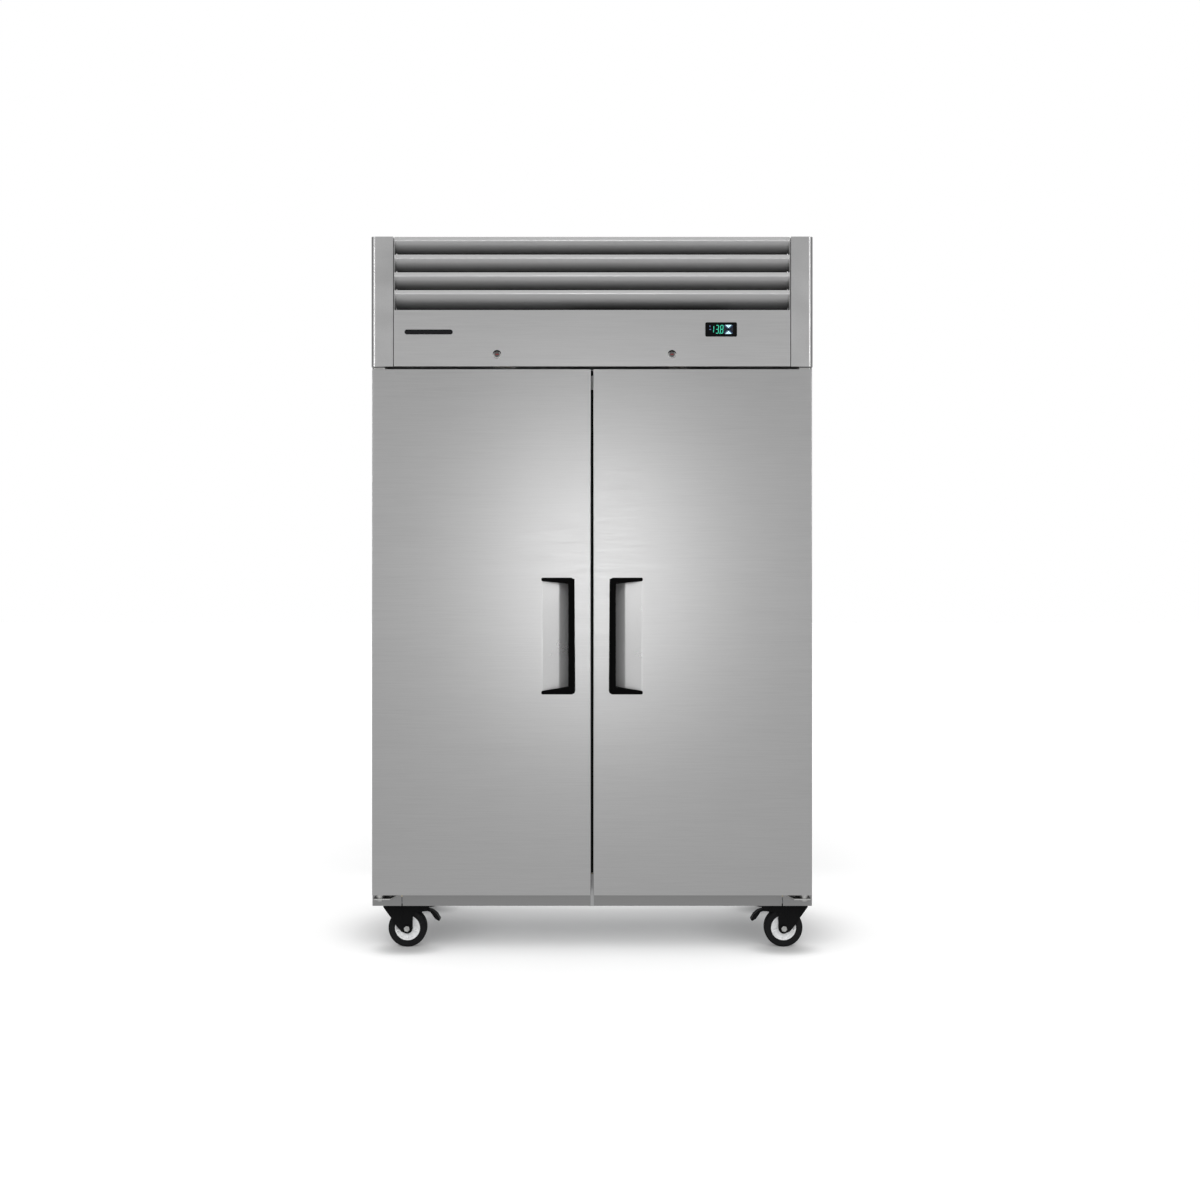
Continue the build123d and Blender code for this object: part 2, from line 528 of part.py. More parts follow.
def header_fascia():
    """Service panel: the plain lower face, its underside, and a cheek at each end on a pivot stud."""
    y = (FRONT_Y, FRONT_Y + SHEET)
    z = (HEADER_Z + 0.5, FASCIA_TOP_Z)
    face = block((-PANEL_X, PANEL_X), y, z)
    under = block((-PANEL_X, PANEL_X), (FRONT_Y, CABINET_Y - 4), (z[0], z[0] + SHEET))
    lip = block((-PANEL_X, PANEL_X), (FRONT_Y, FRONT_Y + 24), (z[1] - SHEET, z[1]))
    panel = face + under + lip
    for side in (-1, 1):
        x = (side * (PANEL_X - 1.5), side * PANEL_X)
        cheek = block(x, (FRONT_Y + 3.5, FRONT_Y + 36), (z[1] - 1, HEIGHT - 2))
        cheek += block(x, (FRONT_Y + 0.5, CABINET_Y - 4), (z[0], z[1]))
        panel += cheek
    panel += block((-PANEL_X + 1, PANEL_X - 1), (FRONT_Y + 8, FRONT_Y + 34), (HEIGHT - 3.2, HEIGHT - 2))
    w, h = CONTROLLER_SIZE
    cx, cz = CONTROLLER
    panel -= block((cx - w / 2 + 7, cx + w / 2 - 7), (FRONT_Y - 1, FRONT_Y + 2), (cz - h / 2 + 4.5, cz + h / 2 - 4.5))
    for x in LOCKS_X.values():
        panel -= rod_y(9.6, x, (FRONT_Y - 1, FRONT_Y + 2), LOCK_Z)
        panel -= block((x - 10, x + 48), (-352, -336), (z[0] - 1, z[0] + 2))
    studs = [rod_x(4.0, (side * (PANEL_X - 1.5), side * (PANEL_X + 6)), *PANEL_PIVOT) for side in (-1, 1)]
    return panel + studs[0] + studs[1]


def controller():
    """Moulded controller case, with two key pockets in its face."""
    w, h = CONTROLLER_SIZE
    cx, cz = CONTROLLER
    face_y = (FRONT_Y - TRIM_PROUD, FRONT_Y)
    bezel = block((cx - w / 2, cx + w / 2), face_y, (cz - h / 2, cz + h / 2))
    bezel = fillet(bezel.edges().filter_by(Axis.Y), 4.0)
    bezel = chamfer(bezel.faces().sort_by(Axis.Y)[0].edges(), 0.8)
    body = block((cx - w / 2 + 7.5, cx + w / 2 - 7.5), (FRONT_Y, FRONT_Y + 55), (cz - h / 2 + 5, cz + h / 2 - 5))
    case = bezel + body
    for points in key_outlines(0.25).values():
        case -= prism_y(points, (face_y[0] - 1, face_y[0] + 2.6))
    return case


def key_outlines(grow):
    """The two triangular keys, one above the other, as (x, z) points."""
    kx, kz = CONTROLLER[0] + 19.8, CONTROLLER[1] - 0.3
    half, tall, gap = 8.8 + grow, 8.2 + grow, 3.8 - grow
    return {
        "up": [(kx - half, kz + gap + tall), (kx + half, kz + gap + tall), (kx, kz + gap)],
        "down": [(kx - half, kz - gap - tall), (kx + half, kz - gap - tall), (kx, kz - gap)],
    }


def key(points):
    """One key, with room to travel behind it."""
    return prism_y(points, (FRONT_Y - TRIM_PROUD - 0.6, FRONT_Y - TRIM_PROUD + 1.6))


def lock_body(x):
    """Lock barrel with its flange on the fascia and a nut behind."""
    barrel = rod_y(9.5, x, (FRONT_Y - 2, FRONT_Y + 18), LOCK_Z) + rod_y(12.0, x, (FRONT_Y - 2, FRONT_Y), LOCK_Z)
    barrel = fillet(barrel.faces().sort_by(Axis.Y)[0].edges().sort_by(SortBy.RADIUS)[-1:], 1.2)
    nut = rod_y(13.0, x, (FRONT_Y + 1, FRONT_Y + 6), LOCK_Z)
    return barrel + nut - rod_y(PLUG_R + BUSH_CLEARANCE, x, (FRONT_Y - 3, FRONT_Y + 19), LOCK_Z)


def lock_plug(x):
    """Key plug with its slot, and the cam on its tail."""
    plug = rod_y(PLUG_R, x, (FRONT_Y - 1.5, -349.0), LOCK_Z)
    plug -= block((x - 4.5, x + 4.5), (FRONT_Y - 2, FRONT_Y + 8), (LOCK_Z - 0.9, LOCK_Z + 0.9))
    tail = rod_y(4.0, x, (-349.0, -342.0), LOCK_Z)
    cam = block((x, x + CAM_LENGTH - 7), (-346.5, -343.5), (LOCK_Z - 7, LOCK_Z + 7))
    cam += rod_y(7.0, x, (-346.5, -343.5), LOCK_Z) + rod_y(7.0, x + CAM_LENGTH - 7, (-346.5, -343.5), LOCK_Z)
    return plug + tail + cam


# ---------------------------------------------------------------- castors
def castor_plate(x, y):
    """Top plate with its four bolts."""
    plate = block((x - 38, x + 38), (y - 48, y + 48), CASTOR_PLATE_Z)
    plate = fillet(plate.edges().filter_by(Axis.Z), 6.0)
    for dx in (-28, 28):
        for dy in (-38, 38):
            plate += rod_z(6.5, x + dx, y + dy, (CASTOR_PLATE_Z[0] - 4, CASTOR_PLATE_Z[0]))
    return plate


def castor_parts(braked):
    """Castor trailing towards +X: its axle is the origin, and its swivel axis is one trail to the left."""
    top = CASTOR_PLATE_Z[0] - WHEEL_R
    legs_top = top - 13.0
    outline = [(-67, legs_top), (18, legs_top), (15.5, 32), (15.5, 0), (-2, -15), (-16, -9.5), (-30, 6.2), (-46, 30.5)]
    if braked:
        outline[1:2] = [(62, legs_top), (55, 48), (30, 45), (16, 45)]
    outer = FORK_INNER + FORK_SHEET
    fork = block((-67, 18), (-outer, outer), (legs_top, legs_top + 3))
    if braked:
        fork += block((18, 62), (-outer, outer), (legs_top, legs_top + 3))
    for side in (-1, 1):
        y = sorted((side * FORK_INNER, side * outer))
        leg = prism_y(outline, y) + rod_y(15.0, 0, y, 0)
        raised = sorted((side * outer, side * (outer + 1.0)))
        leg += prism_y([(-58, legs_top), (-14, legs_top), (-14, -4), (-18, -4)], raised)
        fork += leg
    fork -= rod_y(5.05, 0, (-30, 30), 0)
    swivel = -CASTOR_TRAIL
    fork += Pos(swivel, 0, legs_top + 3 + 4.5) * Cylinder(31.0, 9.0)
    fork += Pos(swivel, 0, top - 0.75) * Cylinder(20.0, 0.9)
    if braked:
        fork -= rod_y(3.05, BRAKE_PIVOT[0], (-30, 30), BRAKE_PIVOT[1])
    bolt = rod_y(5.0, 0, (-31, 29), 0)
    bolt += rod_y(6.0, 0, (-FORK_INNER + 0.5, FORK_INNER - 0.5), 0)
    head = Rot(90, 0, 0) * extrude(RegularPolygon(9.2, 6), 6.0)
    bolt += Pos(0, -outer - 1.2, 0) * head
    bolt += Pos(0, outer + 7.2, 0) * head
    hub = rod_y(RIM_R, 0, (-13, 13), 0)
    for face in (-1, 1):
        y = sorted((face * 5, face * 14))
        hub -= rod_y(RIM_R - 4, 0, y, 0) - rod_y(11.0, 0, y, 0)
    for i in range(5):
        rib = block((8, RIM_R - 2), (-12, 12), (-1.6, 1.6))
        hub += Rot(0, 72 * i + 20, 0) * rib
    hub += rod_y(11.0, 0, (-FORK_INNER + 1.5, FORK_INNER - 1.5), 0)
    hub -= rod_y(6.08, 0, (-20, 20), 0)
    tyre = rod_y(WHEEL_R, 0, (-WHEEL_WIDTH / 2, WHEEL_WIDTH / 2), 0)
    tyre = fillet(tyre.edges().filter_by(GeomType.CIRCLE), 6.0)
    tyre -= rod_y(RIM_R, 0, (-20, 20), 0)
    return {"fork": [fork, bolt], "hub": [hub], "tyre": [tyre]}


def brake_pedal():
    """Pedal on a cross pin, with a shoe above the tyre and a tongue for the foot."""
    px, pz = BRAKE_PIVOT
    half = FORK_INNER - 1.0
    tongue = [(px + 2, pz + 3), (58, 51), (71, 47), (83, 37), (91.5, 22), (88, 18.5), (77, 25), (70, 35),
              (64, 44), (56, 46.5), (px + 2, pz - 3)]
    pedal = prism_y(tongue, (-14, 14))
    pedal = fillet(edges_along(pedal, Axis.Y, lambda c: c.X > 80), 2.0)
    pedal += rod_y(6.0, px, (-half, half), pz)
    pedal += prism_y([(px - 4, pz + 3), (px + 5, pz - 2), (px + 3, pz - 11), (px + 0.5, pz - 11.5)], (-12, 12))
    return pedal + rod_y(3.0, px, (-FORK_INNER - 4, FORK_INNER + 4), pz)


def castor(end, side):
    """The moving pieces of one castor, placed with its wheel trailing towards the middle."""
    swivel = CASTOR_X["left" if side < 0 else "right"]
    x = swivel - side * CASTOR_TRAIL
    parts = castor_parts(end == "front")
    if end == "front":
        parts["brake_pedal"] = [brake_pedal()]
    placed = {}
    for name, solids in parts.items():
        if side > 0:
            solids = [mirrored(s) for s in solids]
        placed[name] = [Pos(x, CASTOR_Y[end], WHEEL_R) * s for s in solids]
    return placed


# ---------------------------------------------------------------- write the nodes
def write_cabinet():
    """Nodes that stay still."""
    left = side_panel()
    save("side_panel_left", *left)
    save("side_panel_right", *[mirrored(s) for s in left])
    save("back_panel", back_panel())
    save("base_frame", *base_frame())
    save("front_frame", *front_frame())
    save("cabinet_insulation", *insulation())
    save("inner_liner", inner_liner())
    save("mullion", *mullion())
    save("shelf_supports", *shelf_supports())
    shelf = wire_shelf()
    right = [Pos(0, 0, z) * shelf for z in SHELF_Z]
    save("wire_shelves", *[mirrored(s) for s in right], *right)
    coil_z = (EVAPORATOR_FLOOR_Z + 29, EVAPORATOR_FLOOR_Z + 114)
    save("evaporator_coil", finned_coil((-420, 420), (205, 290), coil_z, 36, 3, 5.0))
    save("evaporator_cover", evaporator_cover())
    save("fan_motors", *fan_motors())
    save("compressor", *compressor())
    save("condenser_coil", finned_coil(CONDENSER_X, CONDENSER_Y, CONDENSER_Z, 56, 8, 5.0))
    save("unit_frame", *unit_frame())
    save("refrigerant_pipes", *refrigerant_pipes())
    save("electrical_box", *electrical_box())
    brackets, pins = hinges()
    save("hinge_brackets", *brackets)
    save("hinge_pins", *pins)
    save("castor_plates", *[castor_plate(x, y) for x in CASTOR_X.values() for y in CASTOR_Y.values()])


def write_fans():
    """Fan wheels, each on its own shaft."""
    small = axial_fan(15.0, EVAPORATOR_FAN_R - 4, 20.0, 5, 4.05)
    for name, side in (("left", -1), ("right", 1)):
        place = Pos(side * EVAPORATOR_FAN_X, EVAPORATOR_FAN_Y, EVAPORATOR_FLOOR_Z + 28) * Rot(180, 0, 0)
        save(f"evaporator_fan_{name}", place * small)
    large = axial_fan(24.0, CONDENSER_FAN_R - 4, 26.0, 5, 4.05)
    save("condenser_fan", Pos(CONDENSER_FAN[0], -122.0, CONDENSER_FAN[1]) * Rot(90, 0, 0) * large)


def write_header():
    """The hinged service panel and what rides on it."""
    save("header_fascia", header_fascia())
    save("louvre_blades", *[louvre(HEIGHT - 0.3 - LOUVRE_PITCH * i, 34 if i == LOUVRES - 1 else 26)
                            for i in range(LOUVRES)])
    save("controller_case", controller())
    for name, points in key_outlines(0.0).items():
        save(f"key_{name}", key(points))
    save("lock_bodies", *[lock_body(x) for x in LOCKS_X.values()])
    for side, x in LOCKS_X.items():
        save(f"lock_plug_{side}", lock_plug(x))


def write_doors():
    for side in ("left", "right"):
        for node, solids in door(side).items():
            save(f"{node}_{side}", *solids)


def write_castors():
    for end in CASTOR_Y:
        for name, side in (("left", -1), ("right", 1)):
            for part, solids in castor(end, side).items():
                node = f"brake_pedal_{name}" if part == "brake_pedal" else f"castor_{part}_{end}_{name}"
                save(node, *solids)


write_cabinet()
write_fans()
write_header()
write_doors()
write_castors()
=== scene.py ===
"""Two-door reach-in refrigerator: finishes, small fittings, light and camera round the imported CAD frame.

Lengths are metres in the row frame: X to the right, Y to the back, Z up from the floor.
"""

import math
import random
import bmesh
import bpy
from mathutils import Matrix, Vector

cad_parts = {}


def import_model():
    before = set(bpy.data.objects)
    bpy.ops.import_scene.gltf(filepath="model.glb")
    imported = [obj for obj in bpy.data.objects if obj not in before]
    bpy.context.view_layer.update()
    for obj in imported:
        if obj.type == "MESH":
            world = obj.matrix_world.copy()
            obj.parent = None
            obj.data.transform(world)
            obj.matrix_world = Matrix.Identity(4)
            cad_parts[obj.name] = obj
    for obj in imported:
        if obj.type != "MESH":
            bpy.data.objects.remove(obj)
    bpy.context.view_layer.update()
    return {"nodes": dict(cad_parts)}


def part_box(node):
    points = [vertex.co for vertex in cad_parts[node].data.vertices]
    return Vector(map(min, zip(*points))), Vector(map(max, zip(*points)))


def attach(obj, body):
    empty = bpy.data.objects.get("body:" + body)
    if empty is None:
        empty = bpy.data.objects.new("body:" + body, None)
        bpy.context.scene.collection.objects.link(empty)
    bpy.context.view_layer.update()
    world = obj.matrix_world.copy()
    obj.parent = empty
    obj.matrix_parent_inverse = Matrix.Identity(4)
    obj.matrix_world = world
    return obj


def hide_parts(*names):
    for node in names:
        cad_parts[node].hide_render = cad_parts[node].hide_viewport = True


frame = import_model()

rng = random.Random(7)
nodes_by_name = frame["nodes"]


# ------------------------------------------------------------------ shader helpers
class Shader:
    """A material under construction."""

    def __init__(self, name, color, metallic=0.0, rough=0.5, **sockets):
        self.mat = bpy.data.materials.new(name)
        self.mat.use_nodes = True
        self.tree = self.mat.node_tree
        self.bsdf = self.tree.nodes["Principled BSDF"]
        self.color = tuple(color)
        self.bsdf.inputs["Base Color"].default_value = (*color, 1.0)
        self.bsdf.inputs["Metallic"].default_value = metallic
        self.bsdf.inputs["Roughness"].default_value = rough
        self.rough = rough
        for key, value in sockets.items():
            self.bsdf.inputs[key.replace("_", " ")].default_value = value
        self.coord = self.tree.nodes.new("ShaderNodeTexCoord").outputs["Object"]

    def add(self, kind, **props):
        node = self.tree.nodes.new(kind)
        for key, value in props.items():
            setattr(node, key, value)
        return node

    def link(self, a, b):
        self.tree.links.new(a, b)

    def mapped(self, scale):
        node = self.add("ShaderNodeMapping")
        node.inputs["Scale"].default_value = scale
        self.link(self.coord, node.inputs["Vector"])
        return node.outputs["Vector"]

    def noise(self, scale, detail=3.0, rough=0.5):
        """Noise whose cells are 1/scale metres on each axis."""
        node = self.add("ShaderNodeTexNoise")
        node.inputs["Scale"].default_value = 1.0
        node.inputs["Detail"].default_value = detail
        node.inputs["Roughness"].default_value = rough
        self.link(self.mapped(scale), node.inputs["Vector"])
        return node.outputs["Fac"]

    def voronoi(self, scale, feature="F1"):
        node = self.add("ShaderNodeTexVoronoi", feature=feature)
        node.inputs["Scale"].default_value = 1.0
        self.link(self.mapped(scale), node.inputs["Vector"])
        return node.outputs["Color" if feature == "F1" else "Distance"]

    def ramp(self, fac, low, high, a, b):
        node = self.add("ShaderNodeMapRange")
        node.inputs["From Min"].default_value = low
        node.inputs["From Max"].default_value = high
        node.inputs["To Min"].default_value = a
        node.inputs["To Max"].default_value = b
        self.link(fac, node.inputs["Value"])
        return node.outputs["Result"]

    def tint(self, fac, low, high, a, b):
        """Base colour from a to b where fac goes from low to high."""
        node = self.add("ShaderNodeMix", data_type="RGBA")
        node.inputs["A"].default_value = (*a, 1.0)
        node.inputs["B"].default_value = (*b, 1.0)
        self.link(self.ramp(fac, low, high, 0.0, 1.0), node.inputs["Factor"])
        self.link(node.outputs["Result"], self.bsdf.inputs["Base Color"])
        return node

    def overlay(self, mix, fac, low, high, color):
        """A further colour over the one that mix gives."""
        node = self.add("ShaderNodeMix", data_type="RGBA")
        self.link(mix.outputs["Result"], node.inputs["A"])
        node.inputs["B"].default_value = (*color, 1.0)
        self.link(self.ramp(fac, low, high, 0.0, 1.0), node.inputs["Factor"])
        self.link(node.outputs["Result"], self.bsdf.inputs["Base Color"])
        return node

    def vary_rough(self, fac, low, high, spread):
        out = self.ramp(fac, low, high, max(0.02, self.rough - spread), self.rough + spread)
        self.link(out, self.bsdf.inputs["Roughness"])

    def bump(self, fac, strength, distance):
        node = self.add("ShaderNodeBump")
        node.inputs["Strength"].default_value = strength
        node.inputs["Distance"].default_value = distance
        self.link(fac, node.inputs["Height"])
        self.link(node.outputs["Normal"], self.bsdf.inputs["Normal"])

    def patch(self, centre, reach, left_over):
        """1 away from an ellipse about a point, falling smoothly to left_over at its middle."""
        shift = self.add("ShaderNodeVectorMath", operation="SUBTRACT")
        size = self.add("ShaderNodeVectorMath", operation="DIVIDE")
        length = self.add("ShaderNodeVectorMath", operation="LENGTH")
        fall = self.add("ShaderNodeMapRange", interpolation_type="SMOOTHERSTEP")
        self.link(self.coord, shift.inputs[0])
        shift.inputs[1].default_value = centre
        self.link(shift.outputs[0], size.inputs[0])
        size.inputs[1].default_value = reach
        self.link(size.outputs[0], length.inputs[0])
        fall.inputs["To Min"].default_value = left_over
        fall.inputs["To Max"].default_value = 1.0
        self.link(length.outputs["Value"], fall.inputs["Value"])
        return fall.outputs["Result"]

    def product(self, a, b):
        node = self.add("ShaderNodeMath", operation="MULTIPLY")
        self.link(a, node.inputs[0])
        self.link(b, node.inputs[1])
        return node.outputs[0]

    def darken(self, factor):
        """Scales the base colour and the glow by a factor."""
        base = self.bsdf.inputs["Base Color"]
        scaled = self.add("ShaderNodeVectorMath", operation="SCALE")
        self.link(base.links[0].from_socket, scaled.inputs[0])
        self.link(factor, scaled.inputs["Scale"])
        self.link(scaled.outputs[0], base)
        self.link(factor, self.bsdf.inputs["Emission Color"])


def shades(color, share):
    """The colour a share darker, and a share lighter."""
    dark = tuple(c * (1 - share) for c in color)
    return dark, tuple(min(1.0, c * (1 + share)) for c in color)


def brushed(name, color, rough, grain=(9.0, 9.0, 700.0), amount=0.035, bump=0.06):
    """Stainless sheet with its grain along the axis whose scale is lowest."""
    s = Shader(name, color, 1.0, rough)
    fine = s.noise(grain, 4.0, 0.6)
    broad = s.noise(tuple(g / 14 for g in grain), 2.0)
    dark, light = shades(color, amount)
    mix = s.tint(fine, 0.3, 0.7, dark, light)
    s.overlay(mix, broad, 0.35, 1.6, light)
    s.vary_rough(fine, 0.25, 0.75, 0.035)
    s.bump(fine, bump, 0.0002)
    return s.mat


def steel_with_painted_shade(name, color, rough, metallic, turn, dark=(0.012,) * 3, scale=(6.0, 500.0, 500.0)):
    """Satin steel with painted shade: its colour turns dark as its face turns up or down.

    turn is the height of the face's normal where the change starts and where it ends, and dark is the colour
    of that painted shade.
    """
    s = Shader(name, color, metallic, rough, Specular_IOR_Level=0.3)
    grain = s.noise(scale, 2.0)
    split = s.add("ShaderNodeSeparateXYZ")
    s.link(s.coord.node.outputs["Normal"], split.inputs["Vector"])
    mix = s.tint(grain, 0.3, 0.7, *shades(color, 0.01))
    # painted shade: the colour goes to dark as the normal's height passes through turn
    s.overlay(mix, split.outputs["Z"], *turn, dark)
    s.vary_rough(grain, 0.3, 0.7, 0.015)
    s.bump(grain, 0.006, 0.0002)
    return s.mat


def satin(name, color, rough, metallic=1.0, scale=900.0, amount=0.03, bump=0.05, **sockets):
    """Non-directional fine finish, such as satin steel or powder coat."""
    s = Shader(name, color, metallic, rough, **sockets)
    fine = s.noise((scale,) * 3, 3.0, 0.6)
    broad = s.noise((scale / 40,) * 3, 2.0)
    dark, light = shades(color, amount)
    mix = s.tint(fine, 0.3, 0.7, dark, light)
    s.overlay(mix, broad, 0.5, 1.8, dark)
    s.vary_rough(broad, 0.3, 0.7, 0.05)
    s.bump(fine, bump, 0.0003)
    return s.mat


def plastic(name, color, rough, scale=1400.0, bump=0.12, amount=0.12, **sockets):
    """Moulded plastic with a fine spark-eroded grain."""
    return satin(name, color, rough, 0.0, scale, amount, bump, **sockets)


def galvanised(name):
    """Zinc-coated sheet with its crystal spangle."""
    s = Shader(name, (0.62, 0.64, 0.65), 0.85, 0.42)
    cells = s.voronoi((190.0,) * 3)
    split = s.add("ShaderNodeSeparateColor")
    s.link(cells, split.inputs["Color"])
    s.tint(split.outputs["Red"], 0.0, 1.0, (0.58, 0.60, 0.61), (0.72, 0.74, 0.755))
    s.vary_rough(split.outputs["Green"], 0.0, 1.0, 0.06)
    s.bump(s.noise((400.0,) * 3), 0.05, 0.0003)
    return s.mat


def foam(name):
    """Rigid insulating foam with open cut cells."""
    s = Shader(name, (0.62, 0.52, 0.30), 0.0, 0.9)
    cells = s.voronoi((900.0,) * 3, "DISTANCE_TO_EDGE")
    s.tint(s.noise((30.0,) * 3), 0.3, 0.7, (0.55, 0.44, 0.24), (0.70, 0.61, 0.38))
    s.bump(cells, 0.5, 0.0006)
    return s.mat


def fins(name):
    """Thin aluminium fins, slightly uneven and dusty."""
    s = Shader(name, (0.62, 0.63, 0.64), 0.85, 0.38)
    s.tint(s.noise((260.0, 20.0, 20.0)), 0.3, 0.7, (0.50, 0.51, 0.52), (0.70, 0.71, 0.72))
    s.vary_rough(s.noise((60.0,) * 3), 0.3, 0.7, 0.1)
    s.bump(s.noise((300.0, 60.0, 60.0)), 0.1, 0.0003)
    return s.mat


def copper(name):
    """Copper pipe, tarnished in patches."""
    s = Shader(name, (0.80, 0.42, 0.26), 1.0, 0.3)
    mix = s.tint(s.noise((45.0,) * 3), 0.35, 0.7, (0.82, 0.44, 0.28), (0.52, 0.24, 0.14))
    s.overlay(mix, s.noise((160.0,) * 3), 0.62, 0.8, (0.34, 0.17, 0.11))
    s.vary_rough(s.noise((80.0,) * 3), 0.3, 0.7, 0.1)
    s.bump(s.noise((500.0,) * 3), 0.05, 0.0003)
    return s.mat


def rubber(name, color=(0.007, 0.007, 0.0075)):
    """Tyre rubber: fine grain with a little dust."""
    s = Shader(name, color, 0.0, 0.7, Specular_IOR_Level=0.12)
    mix = s.tint(s.noise((700.0,) * 3), 0.3, 0.7, color, tuple(c * 1.8 for c in color))
    s.overlay(mix, s.noise((55.0,) * 3, 4.0), 0.66, 1.1, (0.05, 0.049, 0.047))
    s.vary_rough(s.noise((120.0,) * 3), 0.3, 0.7, 0.1)
    s.bump(s.noise((1100.0,) * 3), 0.2, 0.0003)
    return s.mat


def wheel_body(name):
    """Pale moulded nylon, rubbed and slightly grey from use."""
    s = Shader(name, (0.66, 0.665, 0.67), 0.0, 0.42)
    streaks = s.noise((130.0, 40.0, 130.0), 4.0)
    mix = s.tint(streaks, 0.3, 0.7, (0.74, 0.745, 0.75), (0.90, 0.905, 0.91))
    s.overlay(mix, s.noise((330.0,) * 3, 4.0), 0.62, 1.0, (0.45, 0.45, 0.455))
    s.vary_rough(s.noise((90.0,) * 3), 0.3, 0.7, 0.1)
    s.bump(s.noise((600.0,) * 3), 0.1, 0.0004)
    return s.mat


def glow(name, color, strength, base=(0.02, 0.02, 0.02)):
    """Lit symbol behind a smoked window."""
    s = Shader(name, base, 0.0, 0.35)
    s.bsdf.inputs["Emission Color"].default_value = (*color, 1.0)
    s.bsdf.inputs["Emission Strength"].default_value = strength
    s.tint(s.noise((900.0,) * 3), 0.3, 0.7, *shades(color, 0.2))
    s.bump(s.noise((1500.0,) * 3), 0.05, 0.0002)
    return s.mat


# ------------------------------------------------------------------ materials
def grey(level):
    return (level,) * 3


WIDE_GRAIN = (9.0, 9.0, 420.0)      # fine across the height, drawn out along the width
TALL_GRAIN = (420.0, 420.0, 7.0)    # drawn out along the height
WARM_STEEL = (0.80, 0.80, 0.785)
NO_SHINE = {"Specular_IOR_Level": 0.03}
LOW_SHINE = {"Specular_IOR_Level": 0.1}

M = {
    "outer_steel": brushed("door_steel", grey(0.76), 0.31, WIDE_GRAIN, 0.03),
    # painted light: grey set lighter than the doors' steel for the brighter light on the header
    "fascia_steel": brushed("fascia_steel", grey(0.86), 0.34, WIDE_GRAIN, 0.03),
    "pillar_steel": satin("pillar_steel", grey(0.86), 0.34, scale=420.0),
    # painted shade: the louvre blades' faces that turn down are darkened in colour
    "louvre_steel": steel_with_painted_shade("louvre_steel", grey(0.49), 0.24, 0.5, (-0.66, -0.99)),
    # painted reflection: the hinge plates' upward faces are darkened in colour for the dark door underside
    # above them
    "bracket_steel": steel_with_painted_shade("bracket_steel", WARM_STEEL, 0.3, 0.9, (0.3, 0.7), grey(0.008), (300.0,) * 3),
    # painted shade: grey set darker than the doors' steel for the shade under the doors
    "rail_steel": brushed("rail_steel", grey(0.52), 0.40),
    "inner_steel": brushed("inner_steel", (0.74, 0.745, 0.75), 0.34, TALL_GRAIN, 0.03),
    "plate_steel": satin("plate_steel", grey(0.72), 0.31, 0.75, 500.0, 0.02, 0.02),
    "galvanised": galvanised("galvanised"),
    "foam": foam("foam"),
    "wire": plastic("wire_coating", (0.62, 0.63, 0.64), 0.34, 700.0, Coat_Weight=0.25),
    "fins": fins("fins"),
    "motor": satin("motor_paint", (0.035, 0.036, 0.038), 0.45, 0.2, 500.0, 0.15, 0.15),
    "compressor_black": satin("compressor_paint", (0.014, 0.014, 0.015), 0.32, 0.0, 260.0, 0.2, 0.22,
                              Coat_Weight=0.3),
    "copper": copper("copper"),
    "control_box": satin("box_paint", (0.30, 0.31, 0.32), 0.5, 0.0, 600.0, 0.06, 0.25),
    "plated": satin("plated", WARM_STEEL, 0.3, 1.0, 400.0, 0.06, 0.06),
    "bush": plastic("bush_nylon", (0.72, 0.72, 0.69), 0.4, 500.0, amount=0.04),
    "seal": plastic("seal_vinyl", (0.028, 0.029, 0.030), 0.5, 500.0, 0.2),
    "handle_black": plastic("handle_black", grey(0.0016), 0.5, 1300.0, 0.08, **NO_SHINE),
    "controller_black": plastic("controller_black", grey(0.003), 0.4, 1300.0, 0.06, Specular_IOR_Level=0.06),
    "key_blue": glow("key_blue", (0.46, 0.70, 0.80), 0.28, (0.08, 0.13, 0.15)),
    "fan_black": plastic("fan_black", (0.02, 0.02, 0.021), 0.45, 500.0),
    "fork_black": satin("fork_paint", (0.0045, 0.0045, 0.005), 0.5, 0.0, 520.0, 0.2, 0.2,
                        Specular_IOR_Level=0.12),
    "wheel_grey": wheel_body("wheel_body"),
    "tyre_black": rubber("tyre_rubber"),
    "digit_green": glow("digit_green", (0.028, 0.39, 0.245), 0.80),
    "mark_blue": glow("mark_blue", (0.05, 0.085, 0.17), 0.9),
    "window": plastic("window_smoked", (0.003, 0.003, 0.0035), 0.25, 900.0, 0.02, Specular_IOR_Level=0.08),
    "key_dark": plastic("key_dark", (0.018, 0.021, 0.028), 0.4, 900.0, 0.05, **LOW_SHINE),
    "badge": satin("badge_dark", (0.008, 0.008, 0.009), 0.42, 0.0, 700.0, 0.2, 0.08, **LOW_SHINE),
    "lock_steel": satin("lock_steel", (0.80, 0.80, 0.79), 0.22, 1.0, 300.0, 0.05, 0.06),
    "plug_dark": satin("plug_dark", grey(0.20), 0.3, 1.0, 300.0, 0.03, 0.06),
    "slot_red": plastic("slot_red", (0.32, 0.022, 0.018), 0.5, 900.0, 0.1, **LOW_SHINE),
    # painted shadow on the locks' upper edges: black without shine
    "hood_black": plastic("hood_black", grey(0.003), 0.6, 900.0, 0.1, **NO_SHINE),
    "filter_black": plastic("filter_foam", grey(0.003), 0.9, 500.0, 0.5, Specular_IOR_Level=0.02),
    "breaker_black": plastic("breaker_vinyl", grey(0.008), 0.6, 600.0, 0.1, **LOW_SHINE),
    "dark_hole": plastic("dark_socket", grey(0.010), 0.6, 900.0, 0.1),
}


def paint(obj, key):
    obj.data.materials.clear()
    obj.data.materials.append(M[key])


